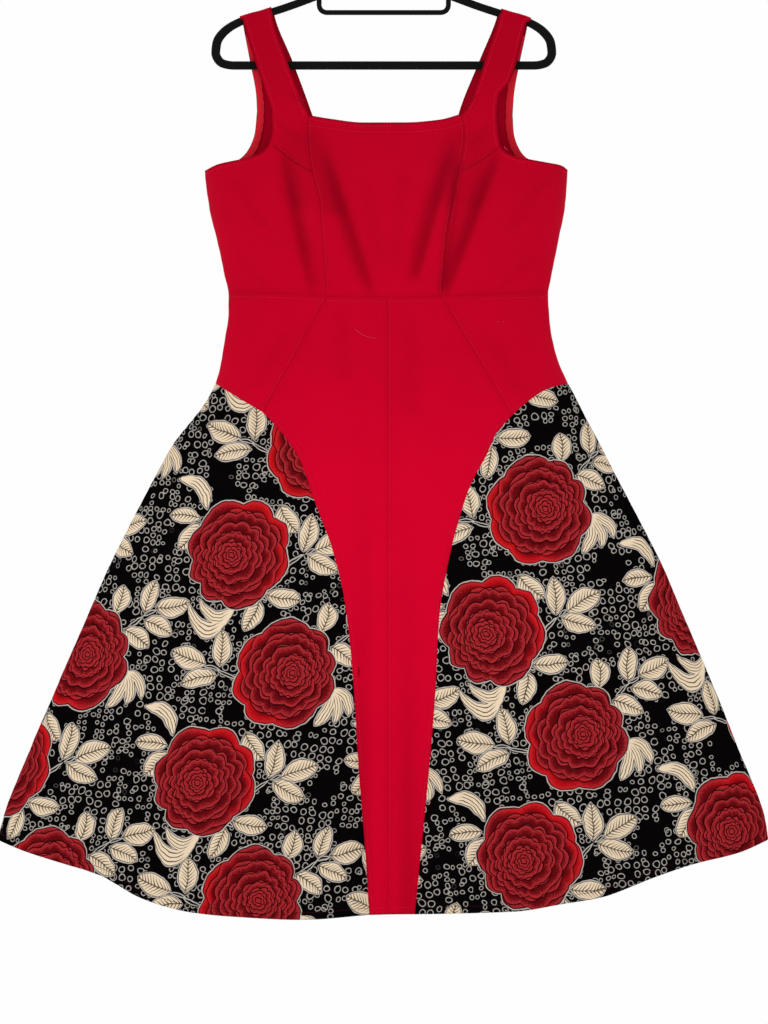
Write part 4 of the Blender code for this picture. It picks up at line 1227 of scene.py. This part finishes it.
def painted_shade_amount(face, flat):
    """Painted shade from 0 to 1: by drop and towards the sides, and more in the creases and bodice folds."""
    x = raise_cloth(face, flat)[:, 0] - DRESS_OFFSET
    drop = flat[:, 1]
    fine = stand_out(CREASES[face], x, drop, CREASE_SHAPE)
    darted = [row for row in FOLDS[face] if row[3] < WAIST_CENTRE and row[4] < 0]
    bulk = stand_out(darted, x, drop, FOLD_SHAPE)
    painted_drop_shade = curve(drop, PAINTED_SHADE_BY_DROP[:, 0], PAINTED_SHADE_BY_DROP[:, 1]) + PAINTED_SIDE_SHADE * share_across(x, drop) ** 2
    return painted_drop_shade + (1 - painted_drop_shade) * (shaded(fine, CREASE_SHADE) + shaded(bulk, FOLD_SHADE))


# %% Sewing
def add_mesh(name, vertices, faces, finish, sharp=50):
    """A mesh object in metres, smooth but for its sharp edges, riding on the part's one body."""
    mesh = bpy.data.meshes.new(name)
    mesh.from_pydata((np.asarray(vertices) * MM).tolist(), [], faces)
    work = bmesh.new()
    work.from_mesh(mesh)
    bmesh.ops.recalc_face_normals(work, faces=work.faces)
    work.to_mesh(mesh)
    work.free()
    mesh.materials.append(finish)
    made = bpy.data.objects.new(name, mesh)
    bpy.context.scene.collection.objects.link(made)
    mesh.shade_smooth()
    mesh.set_sharp_from_angle(angle=math.radians(sharp))
    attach(made, "root")
    return made


def tube_faces(rings, sides, start=0, closed=False):
    """Faces of a tube through rings of vertices, with a cap at each end unless it is closed."""
    faces = []
    for k in range(rings if closed else rings - 1):
        a = start + k * sides
        b = start + (k + 1) % rings * sides
        faces += [(a + j, a + (j + 1) % sides, b + (j + 1) % sides, b + j) for j in range(sides)]
    if not closed:
        faces.append(tuple(range(start, start + sides)))
        faces.append(tuple(reversed(range(start + (rings - 1) * sides, start + rings * sides))))
    return faces


def rows_within(outline):
    """Rows of places just inside an outline, where the seam's form is finest."""
    rows = []
    for distance in ROWS_IN:
        row = inset(outline, distance)
        row = row[inside(row, outline)]
        rows.append(row[distance_to(row, outline) > distance * 0.85])
    return rows


DART_ROWS = (-3.6, -1.6, 0.0, 1.6, 3.6)
SIDE_ROWS = (5.2, 8.0)
SIDE_ENDS = 2.0


def dart_rows(line):
    """Rows of places along a dart."""
    side = sideways(np.gradient(line, axis=0))
    return [line + side * step for step in DART_ROWS]


def side_band(face, side, top, bottom):
    """Extra places beside a side seam, where the cloth turns round most."""
    seam = side_seam(face, side, top + SIDE_ENDS, bottom - SIDE_ENDS)
    return [seam - (side * step, 0.0) for step in SIDE_ROWS]


def lay_cut(piece, place):
    """The UV map "cut" from the places of the points on one side of a shell."""
    layer = piece.data.uv_layers.new(name="cut")
    corner = np.empty(len(piece.data.loops), int)
    piece.data.loops.foreach_get("vertex_index", corner)
    layer.data.foreach_set("uv", np.tile(place, (2, 1))[corner].ravel())


PRINT_ANCHORS = {
    # the across and drop of one rose, how far the print's rows and columns are turned, in degrees,
    # and how much closer together the rows' motifs lie where the cloth is eased in
    "skirt_print_front_left": (-201.2, 858.3, 5, 8.5, 1.02),
    "skirt_print_front_right": (126, 959.7, -7.7, -9.3, 1),
    "skirt_back_left": (-150, 930, 8, 9.5, 1),
    "skirt_back_right": (214, 880, -8, -8.5, 1),
}


def sew(name, face, edges, spacing, finish, slot, free=(), darts=(), extra=(), rests=("hanger_frame_flocked",)):
    """One cut piece: its outline filled, laid on the tube and closed into a thin shell."""
    outline = inset(join_edges(*edges), GROOVE)
    rows = rows_within(outline) + [row for dart in darts for row in dart_rows(dart)] + list(extra)
    flat, triangles, rim = fill(outline, spacing, np.vstack(rows))
    out, dark = relief(flat, outline, free, darts)
    out = out + ripple(flat) * smooth_step((flat[:, 1] - RIPPLE_TOP) / RIPPLE_BLEND)
    outer = lift(face, flat, out + SHELL / 2)
    inner = lift(face, flat, out - SHELL / 2)
    count = len(flat)
    faces = list(triangles)
    faces += [tuple(v + count for v in reversed(t)) for t in triangles]
    faces += [(b, a, a + count, b + count) for a, b in rim]
    piece = add_mesh(name + "_cloth", np.vstack([outer, inner]), faces, finish)
    # shade painted from seams, edges and darts, creases, folds, drop and sides, kept on the mesh
    painted_shade_and_wear = np.clip(dark + painted_shade_amount(face, flat), 0, 1)
    piece.data.attributes.new("painted_shade_and_wear", "FLOAT", "POINT").data.foreach_set("value", np.tile(painted_shade_and_wear, 2))
    lay_cut(piece, on_grain(name, face, flat))
    size = outline.max(axis=0) - outline.min(axis=0)
    area = abs(signed_area(outline))
    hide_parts(name)
    tuple((size * MM).tolist())
    list(rests)
    print(name, "cut", size.round().tolist(), "mm,", round(area / 100), "cm2,", len(faces), "faces")


def on_grain(name, face, flat):
    """Each point's place on the flat cloth, in metres, along the print's grain."""
    place = flat * MM
    if name in PRINT_ANCHORS:
        across, drop, row_turn, column_turn, eased = PRINT_ANCHORS[name]
        moved = place - flatten(face, [(across, drop)])[0] * MM
        rows, columns = math.radians(row_turn), math.radians(column_turn)
        place = np.column_stack([moved[:, 0] * math.cos(columns) + moved[:, 1] * math.sin(columns),
                                 moved[:, 1] * math.cos(rows) - moved[:, 0] * math.sin(rows)])
        place = place / math.cos(rows - columns) * (eased, 1.0)
    return place


print("the hollow attribute and the cut map are ready")

# %% [markdown]
# ## The front
#
# The front is nine cut pieces: a centre panel and two side panels with the wide straps in the
# bodice, a yoke at each hip, two red centre panels that taper to the hem, and two printed side
# panels. A dart runs from each armhole to the princess seam.

# %% Front pieces
RED = (red_cotton, "red_cotton")
PRINT = (rose_print, "printed_cotton")
neckline = edge(FRONT, NECKLINE)
sew("bodice_centre_front", FRONT, [
    neckline, edge(FRONT, PRINCESS_RIGHT), edge(FRONT, WAIST_MID_RIGHT[::-1]),
    edge(FRONT, WAIST_MID_LEFT[::-1]), edge(FRONT, PRINCESS_LEFT[::-1])], BODICE_MESH, *RED,
    free=[neckline], rests=("bodice_side_front_left_cloth", "bodice_side_front_right_cloth"))
for word, side, outer, inner, armhole, princess, waist in (
        ("left", -1, STRAP_OUTER_LEFT, STRAP_INNER_LEFT, ARMHOLE_LEFT, PRINCESS_LEFT, WAIST_SIDE_LEFT),
        ("right", 1, STRAP_OUTER_RIGHT, STRAP_INNER_RIGHT, ARMHOLE_RIGHT, PRINCESS_RIGHT,
         WAIST_SIDE_RIGHT[::-1])):
    underarm = armhole[-1][1]
    outer_edge = strap_edge(FRONT, outer)
    inner_edge = strap_edge(FRONT, inner)
    hole = edge(FRONT, armhole)
    sew("bodice_side_front_" + word, FRONT, [
        turn_line(FRONT, inner[0], outer[0], 1.0), outer_edge, hole,
        side_seam(FRONT, side, underarm, WAIST_SIDE), edge(FRONT, waist),
        edge(FRONT, princess[::-1]), inner_edge[::-1]], BODICE_MESH, *RED,
        free=[np.vstack([outer_edge, hole]), inner_edge],
        darts=[edge(FRONT, DARTS[word])],
        extra=side_band(FRONT, side, underarm, WAIST_SIDE) + [strap_turn(FRONT, inner[0], outer[0])])

# %% Front yokes and skirt
centre_line = edge(FRONT, CENTRE_FRONT)
for word, side, waist, waist_mid, slant, yoke_edge, seam, hem, hem_mid in (
        ("left", -1, WAIST_SIDE_LEFT, WAIST_MID_LEFT, YOKE_SEAM_LEFT, YOKE_EDGE_LEFT,
         PRINT_SEAM_LEFT, HEM_LEFT, HEM_MID_LEFT),
        ("right", 1, WAIST_SIDE_RIGHT[::-1], WAIST_MID_RIGHT[::-1], YOKE_SEAM_RIGHT,
         YOKE_EDGE_RIGHT[::-1], PRINT_SEAM_RIGHT, HEM_RIGHT[::-1], HEM_MID_RIGHT[::-1])):
    above = "bodice_side_front_" + word + "_cloth"
    sew("hip_yoke_front_" + word, FRONT, [
        edge(FRONT, waist), edge(FRONT, slant), edge(FRONT, yoke_edge[::-1]),
        side_seam(FRONT, side, WAIST_SIDE, YOKE_SIDE)[::-1]], BODICE_MESH * 1.1, *RED,
        extra=side_band(FRONT, side, WAIST_SIDE, YOKE_SIDE), rests=(above,))
    low = edge(FRONT, hem_mid)
    sew("skirt_centre_front_" + word, FRONT, [
        edge(FRONT, slant), edge(FRONT, seam), low, centre_line[::-1],
        edge(FRONT, waist_mid[::-1])], SKIRT_MESH * 0.85, *RED, free=[low],
        rests=("bodice_centre_front_cloth",))
    low = edge(FRONT, hem[::-1])
    sew("skirt_print_front_" + word, FRONT, [
        edge(FRONT, yoke_edge), edge(FRONT, seam), low,
        side_seam(FRONT, side, YOKE_SIDE, HEM_SIDE, EDGE_MESH * 1.5)[::-1]], SKIRT_MESH, *PRINT,
        free=[low], extra=side_band(FRONT, side, YOKE_SIDE, HEM_SIDE),
        rests=("hip_yoke_front_" + word + "_cloth",))

# %% [markdown]
# ## The back
#
# The photograph hides the back, so it is finished plainly: two bodice pieces with the back
# straps, a yoke and a printed skirt panel on each side of a centre seam. It hangs in folds of its
# own. A narrow lighter binding finishes the back armholes on the inside, as seen past the straps.

# %% Back pieces
BINDING_WIDTH = 9.0
BINDING_TOP = 186.0
BINDING_OUT = -1.6
BINDING_HALF = 0.35
BINDING_ROWS = (0.4, 2.2, 4.6, 7.0, BINDING_WIDTH)
BINDING_CROWN = (0.0, 0.25, 0.3, 0.25, 0.0)


def bind(name, side, outer, armhole):
    """The strip that finishes the back armhole, on the inside of the cloth."""
    line = trace(outer[1:] + armhole[1:-1], EDGE_MESH)
    flat = flatten(BACK, line[line[:, 1] > BINDING_TOP])
    across = sideways(np.gradient(flat, axis=0))
    across = across * -side * np.sign(across[0, 0])
    fray = 0.35 * np.sin(np.arange(len(flat)) * 2.1) + 0.25 * np.sin(np.arange(len(flat)) * 0.83)
    rings = []
    for step in BINDING_ROWS:
        width = step + (fray if step == BINDING_WIDTH else 0.0)
        rings.append(flat + across * np.reshape(width, (-1, 1)))
    grid = np.vstack(rings)
    count = len(flat)
    crown = np.repeat(BINDING_CROWN, count)
    vertices = np.vstack([lift(BACK, grid, BINDING_OUT + BINDING_HALF),
                          lift(BACK, grid, BINDING_OUT - BINDING_HALF - crown)])
    total = len(grid)
    faces = []
    for row in range(len(BINDING_ROWS) - 1):
        for k in range(count - 1):
            a, b = row * count + k, (row + 1) * count + k
            faces.append((a, a + 1, b + 1, b))
            faces.append((b + total, b + 1 + total, a + 1 + total, a + total))
    rim = [(k, k + 1) for k in range(count - 1)]
    rim += [(total - count + k + 1, total - count + k) for k in range(count - 1)]
    rim += [((row + 1) * count, row * count) for row in range(len(BINDING_ROWS) - 1)]
    rim += [(row * count + count - 1, (row + 1) * count + count - 1) for row in range(len(BINDING_ROWS) - 1)]
    faces += [(b, a, a + total, b + total) for a, b in rim]
    piece = add_mesh(name + "_cloth", vertices, faces, binding_cotton)
    # the binding has no painted shade
    piece.data.attributes.new("painted_shade_and_wear", "FLOAT", "POINT")
    lay_cut(piece, grid * MM)
    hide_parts(name)
    "bodice_back_" + name.split("_")[-1] + "_cloth"


for word, side, outer, inner, armhole, neck, waist, waist_mid, yoke_edge, hem in (
        ("left", -1, BACK_STRAP_OUTER_LEFT, BACK_STRAP_INNER_LEFT, BACK_ARMHOLE_LEFT,
         BACK_NECK_LEFT, WAIST_SIDE_LEFT, WAIST_MID_LEFT, BACK_YOKE_EDGE_LEFT, BACK_HEM_LEFT),
        ("right", 1, BACK_STRAP_OUTER_RIGHT, BACK_STRAP_INNER_RIGHT, BACK_ARMHOLE_RIGHT,
         BACK_NECK_RIGHT[::-1], WAIST_SIDE_RIGHT[::-1], WAIST_MID_RIGHT[::-1],
         BACK_YOKE_EDGE_RIGHT[::-1], BACK_HEM_RIGHT[::-1])):
    underarm = armhole[-1][1]
    outer_edge = strap_edge(BACK, outer)
    inner_edge = strap_edge(BACK, inner)
    hole = edge(BACK, armhole)
    neck_edge = edge(BACK, neck)
    waist_edges = [edge(BACK, waist), edge(BACK, waist_mid)]
    sew("bodice_back_" + word, BACK, [
        turn_line(BACK, inner[0], outer[0], 1.0), outer_edge, hole,
        side_seam(BACK, side, underarm, WAIST_SIDE), *waist_edges,
        edge(BACK, CENTRE_BODICE_BACK)[::-1], neck_edge[::-1],
        inner_edge[::-1]], BODICE_MESH, *RED,
        free=[np.vstack([outer_edge, hole]), inner_edge, neck_edge],
        extra=side_band(BACK, side, underarm, WAIST_SIDE) + [strap_turn(BACK, inner[0], outer[0])])
    yoke_line = edge(BACK, yoke_edge)
    sew("hip_yoke_back_" + word, BACK, [
        *waist_edges, edge(BACK, CENTRE_YOKE_BACK), yoke_line[::-1],
        side_seam(BACK, side, WAIST_SIDE, YOKE_SIDE)[::-1]], BODICE_MESH * 1.1, *RED,
        extra=side_band(BACK, side, WAIST_SIDE, YOKE_SIDE), rests=("bodice_back_" + word + "_cloth",))
    low = edge(BACK, hem[::-1])
    sew("skirt_back_" + word, BACK, [
        yoke_line, edge(BACK, CENTRE_SKIRT_BACK), low,
        side_seam(BACK, side, YOKE_SIDE, HEM_SIDE, EDGE_MESH * 1.5)[::-1]], SKIRT_MESH, *PRINT,
        free=[low], extra=side_band(BACK, side, YOKE_SIDE, HEM_SIDE),
        rests=("hip_yoke_back_" + word + "_cloth",))
    bind("armhole_binding_" + word, side, outer, armhole)

# %% [markdown]
# ## Topstitching
#
# Stitches are what tells a sewn thing from a moulded one. Each stitch is a small bowed bar that
# sinks at both ends, set along a line moved a few millimetres in from its seam. All the stitches
# of one area are one mesh.

# %% Stitches
PITCH = 3.9
STITCH = 2.4
THREAD = 0.32
STITCH_LIFT = 0.62
STITCH_BOW = 0.3


def stitch_rows(face, rows):
    """Vertices and faces of the stitches of several rows."""
    vertices = []
    for maker, table, distance in rows:
        line = maker(face, table)
        moved = line - sideways(np.gradient(line, axis=0)) * distance
        reach = run(moved)
        at = np.arange(PITCH, reach[-1] - PITCH, PITCH)
        first, middle, last = (
            np.column_stack([np.interp(at + share * STITCH, reach, moved[:, k]) for k in (0, 1)])
            for share in (0.0, 0.5, 1.0))
        side = sideways(last - first) * THREAD
        bars = []
        for places, high in ((first, 0.0), (middle, STITCH_BOW), (last, 0.0)):
            up = STITCH_LIFT + high
            bars += [lift(face, places + side, up), lift(face, places, up + THREAD),
                     lift(face, places - side, up), lift(face, places, up - THREAD)]
        vertices.append(np.array(bars).transpose(1, 0, 2).reshape(-1, 3))
    vertices = np.vstack(vertices)
    faces = [face for start in range(0, len(vertices), 12) for face in tube_faces(3, 4, start)]
    return vertices, faces


def strap_and_hole(face, tables):
    """The outer edge of a strap and the armhole below it as one line."""
    return np.vstack([strap_edge(face, tables[0]), edge(face, tables[1])[1:]])


def stitches(name, face, rows, finish):
    """All the stitches of an area: for each row its line and how far to its left it lies."""
    vertices, faces = stitch_rows(face, rows)
    piece = add_mesh(name, vertices, faces, finish, sharp=80)
    print(name, len(faces) // 10, "stitches")


stitches("topstitch_bodice_front", FRONT, [
    (edge, NECKLINE, -5.0),
    (edge, NECKLINE, -12.5),
    (edge, PRINCESS_LEFT, 1.6),
    (edge, PRINCESS_RIGHT, -1.6),
    (edge, PRINCESS_RIGHT, 4.5),
    (edge, DARTS["left"], 1.4),
    (edge, DARTS["right"], -1.4),
    (strap_edge, STRAP_INNER_LEFT, -5.0),
    (strap_edge, STRAP_INNER_RIGHT, 5.0),
    (strap_and_hole, (STRAP_OUTER_LEFT, ARMHOLE_LEFT), 5.0),
    (strap_and_hole, (STRAP_OUTER_RIGHT, ARMHOLE_RIGHT), -5.0),
], red_thread)
stitches("topstitch_skirt_front", FRONT, [
    (edge, WHOLE_WAIST, -6.0),
    (edge, YOKE_SEAM_LEFT, -2.0),
    (edge, YOKE_SEAM_RIGHT, 2.0),
    (edge, PRINT_SEAM_LEFT, 4.0),
    (edge, PRINT_SEAM_RIGHT, -4.0),
    (edge, YOKE_EDGE_LEFT, 4.0),
    (edge, YOKE_EDGE_RIGHT, 4.0),
    (edge, CENTRE_FRONT, 1.8),
    (edge, HEM_MID_LEFT, 9.0),
    (edge, HEM_MID_RIGHT, 9.0),
], red_thread)
stitches("hem_stitch_front", FRONT, [(edge, HEM_LEFT, 9.0), (edge, HEM_RIGHT, 9.0)], dark_thread)
stitches("topstitch_bodice_back", BACK, [
    (edge, BACK_NECK_LEFT + BACK_NECK_RIGHT[1:], -5.0),
    (strap_edge, BACK_STRAP_INNER_LEFT, -5.0),
    (strap_edge, BACK_STRAP_INNER_RIGHT, 5.0),
    (edge, CENTRE_BODICE_BACK, 1.8),
    (edge, WHOLE_WAIST, -6.0),
    (edge, CENTRE_YOKE_BACK, 1.8),
    (edge, BACK_YOKE_EDGE_LEFT + BACK_YOKE_EDGE_RIGHT[1:], 4.0),
], red_thread)
stitches("hem_stitch_back", BACK, [(edge, BACK_HEM_LEFT, 9.0), (edge, BACK_HEM_RIGHT, 9.0)], dark_thread)

# %% Loose threads
LOOSE = [
    # across and drop along each thread end that lies on the cloth
    [(-42, 567.5), (-37, 572), (-30.5, 575.5), (-23, 578), (-15, 579.5)],
    [(140.2, 557.4), (141, 557.9), (141.8, 558)],
    [(147.8, 557.4), (148.5, 557.9), (149.3, 557.8)],
    [(149.5, 332), (151, 334.6), (153.5, 336.6)],
]
LINT_SIDES = 6
LINT_STEP = 0.8
LINT_LIFT = 1.1
vertices = []
faces = []
for row in LOOSE:
    flat = flatten(FRONT, trace(row, LINT_STEP))
    side = sideways(np.gradient(flat, axis=0))
    rings = []
    for turn in np.arange(LINT_SIDES) * 2 * math.pi / LINT_SIDES:
        rings.append(lift(FRONT, flat + side * math.cos(turn) * THREAD, LINT_LIFT + math.sin(turn) * THREAD))
    faces += tube_faces(len(flat), LINT_SIDES, len(vertices))
    vertices += list(np.array(rings).transpose(1, 0, 2).reshape(-1, 3))
loose = add_mesh("loose_threads", vertices, faces, lint, sharp=80)
print("loose threads:", len(LOOSE))

# %% [markdown]
# ## Hanger and hook
#
# The hanger is one moulded loop with a tie bar and a short neck, swept here with a rounder section
# than its solid has. The hook is steel wire: an open loop that goes over a rail, and a stem.

# %% Hanger
FRAME_STATIONS = 260
SIDES = 16
TIE_BAR_WIDTH = 6.6
NECK_RADIUS = 7.0
NECK_HEIGHT = 17.0
HANGER_TOP = 97.0
TIE_STATIONS = 70
NECK_SIDES = 24
NECK_PROFILE = ((0, 0), (5.6, 0), (6.7, 0.7), (NECK_RADIUS, 2), (NECK_RADIUS, NECK_HEIGHT), (0, NECK_HEIGHT))


def sweep(centre, closed):
    """A flat bar with round edges along a line seen from the front: rows of across, drop, width."""
    points = centre[:, :2]
    along = np.roll(points, -1, axis=0) - np.roll(points, 1, axis=0) if closed else np.gradient(points, axis=0)
    across = sideways(along)
    half = ARM_THICKNESS / 2
    rings = []
    for k, (x, drop, width) in enumerate(centre):
        core = width / 2 - half
        for j in range(SIDES):
            turn = 2 * math.pi * (j + 0.5) / SIDES
            far = math.copysign(core, math.cos(turn)) + half * math.cos(turn)
            rings.append((x + across[k, 0] * far, half * math.sin(turn), -(drop + across[k, 1] * far)))
    return rings


right = np.array(HANGER_HALF)
rows = np.vstack([right, right[1:][::-1] * (-1, 1, 1)])
closed = np.vstack([rows[-3:], rows, rows[:4]])
reach = run(closed[:, :2])
at = np.linspace(reach[3], reach[3 + len(rows)], FRAME_STATIONS + 1)[:-1]
loop = sweep(np.column_stack([curve(at, reach, closed[:, k]) for k in range(3)]), True)
bar = np.array(TIE_BAR_HALF)
bar = np.vstack([(bar * (-1, 1))[::-1], bar[1:]])
reach = run(bar)
at = np.linspace(0.0, reach[-1], TIE_STATIONS)
tie = sweep(np.column_stack([curve(at, reach, bar[:, 0]), curve(at, reach, bar[:, 1]),
                             np.full(TIE_STATIONS, TIE_BAR_WIDTH)]), False)
neck = []
for radius, down in NECK_PROFILE:
    for j in range(NECK_SIDES):
        turn = 2 * math.pi * j / NECK_SIDES
        neck.append((radius * math.cos(turn), radius * math.sin(turn), -(HANGER_TOP - NECK_HEIGHT / 2 + down)))
# the neck's profile starts and ends on its axis, so it has no caps
faces = (tube_faces(FRAME_STATIONS, SIDES, closed=True) + tube_faces(TIE_STATIONS, SIDES, len(loop))
         + tube_faces(len(NECK_PROFILE), NECK_SIDES, len(loop) + len(tie))[:-2])
hanger = add_mesh("hanger_frame_flocked", np.vstack([loop, tie, neck]), faces, black_flock)
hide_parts("hanger_frame")

# %% Hook
WIRE = 3.6
HOOK_RADIUS = 21.0
HOOK_TIP = 205
HOOK_END = -45
STEM_TOP = 70.0
STEM_LEAN = 9.0
BORE_BOTTOM = 101.0

radius = HOOK_RADIUS + WIRE / 2
path = [(radius * math.cos(math.radians(d)), radius * math.sin(math.radians(d)) - HOOK_RADIUS)
        for d in range(HOOK_TIP, HOOK_END - 1, -5)]
last = path[-1]
for t in np.linspace(0.1, 1.0, 10):
    lean = (1 - t) ** 2 * t * STEM_LEAN
    path.append((last[0] * (1 - smooth_step(t)) - lean, last[1] * (1 - t) - STEM_TOP * t))
path.append((0.0, -BORE_BOTTOM + 1.0))
wire = []
path = np.array(path)
across = sideways(np.gradient(path, axis=0))
for (x, z), (aside, up) in zip(path, across):
    for j in range(SIDES):
        turn = 2 * math.pi * j / SIDES
        far = WIRE / 2 * math.cos(turn)
        wire.append((x + aside * far, WIRE / 2 * math.sin(turn), z + up * far))
hook = add_mesh("hanger_hook_steel", wire, tube_faces(len(path), SIDES), steel)
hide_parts("hanger_hook")
print("hanger and hook made")

# %% [markdown]
# ## Studio and camera
#
# The photograph is taken straight on against white, with soft light from all round. A white world
# does most of that, a large soft lamp from the upper left gives the folds a side to turn from, a
# faint one fills from the right, and a third lights the back. The camera stands far off with a
# long lens, so the dress keeps its true outline.

# %% Studio
FLOOR = -1.8
floor_mesh = bpy.data.meshes.new("studio_floor")
floor_mesh.from_pydata([(-5, -5, FLOOR), (5, -5, FLOOR), (5, 5, FLOOR), (-5, 5, FLOOR)], [], [(0, 1, 2, 3)])
floor = bpy.data.objects.new("studio_floor", floor_mesh)
bpy.context.scene.collection.objects.link(floor)
floor_mesh.materials.append(one_colour("pale_floor", (0.97, 0.97, 0.97, 1.0), 0.9))

world = bpy.data.worlds.new("studio_world")
world.use_nodes = True
world.node_tree.nodes["Background"].inputs[0].default_value = (1.0, 1.0, 1.0, 1.0)
world.node_tree.nodes["Background"].inputs[1].default_value = 0.99
bpy.context.scene.world = world
bpy.context.scene.view_settings.view_transform = "Standard"


def lamp(name, place, aim, size, power):
    """A large soft lamp aimed at a point."""
    light = bpy.data.lights.new(name, "AREA")
    light.shape = "SQUARE"
    light.size = size
    light.energy = power
    made = bpy.data.objects.new(name, light)
    made.location = place
    made.rotation_euler = (Vector(aim) - Vector(place)).to_track_quat("-Z", "Y").to_euler()
    bpy.context.scene.collection.objects.link(made)


lamp("key_lamp", (-2.4, -2.9, 0.2), (0.0, 0.0, -0.85), 1.3, 18.0)
lamp("fill_lamp", (3.0, -3.2, -0.2), (0.0, 0.0, -0.85), 2.0, 3.0)
lamp("back_lamp", (1.8, 3.0, 0.9), (0.0, 0.0, -0.8), 1.6, 14.0)

# %% Camera
VIEW_HEIGHT = 1.321
VIEW_MIDDLE = (0.0003, -0.8026)
CAMERA_AWAY = 12.0
camera_data = bpy.data.cameras.new("photo_camera")
camera_data.sensor_fit = "VERTICAL"
camera_data.sensor_height = 36.0
camera_data.lens = camera_data.sensor_height * CAMERA_AWAY / VIEW_HEIGHT
camera = bpy.data.objects.new("photo_camera", camera_data)
camera.location = (VIEW_MIDDLE[0], -CAMERA_AWAY, VIEW_MIDDLE[1])
camera.rotation_euler = (math.radians(90), 0.0, 0.0)
bpy.context.scene.collection.objects.link(camera)
bpy.context.scene.camera = camera
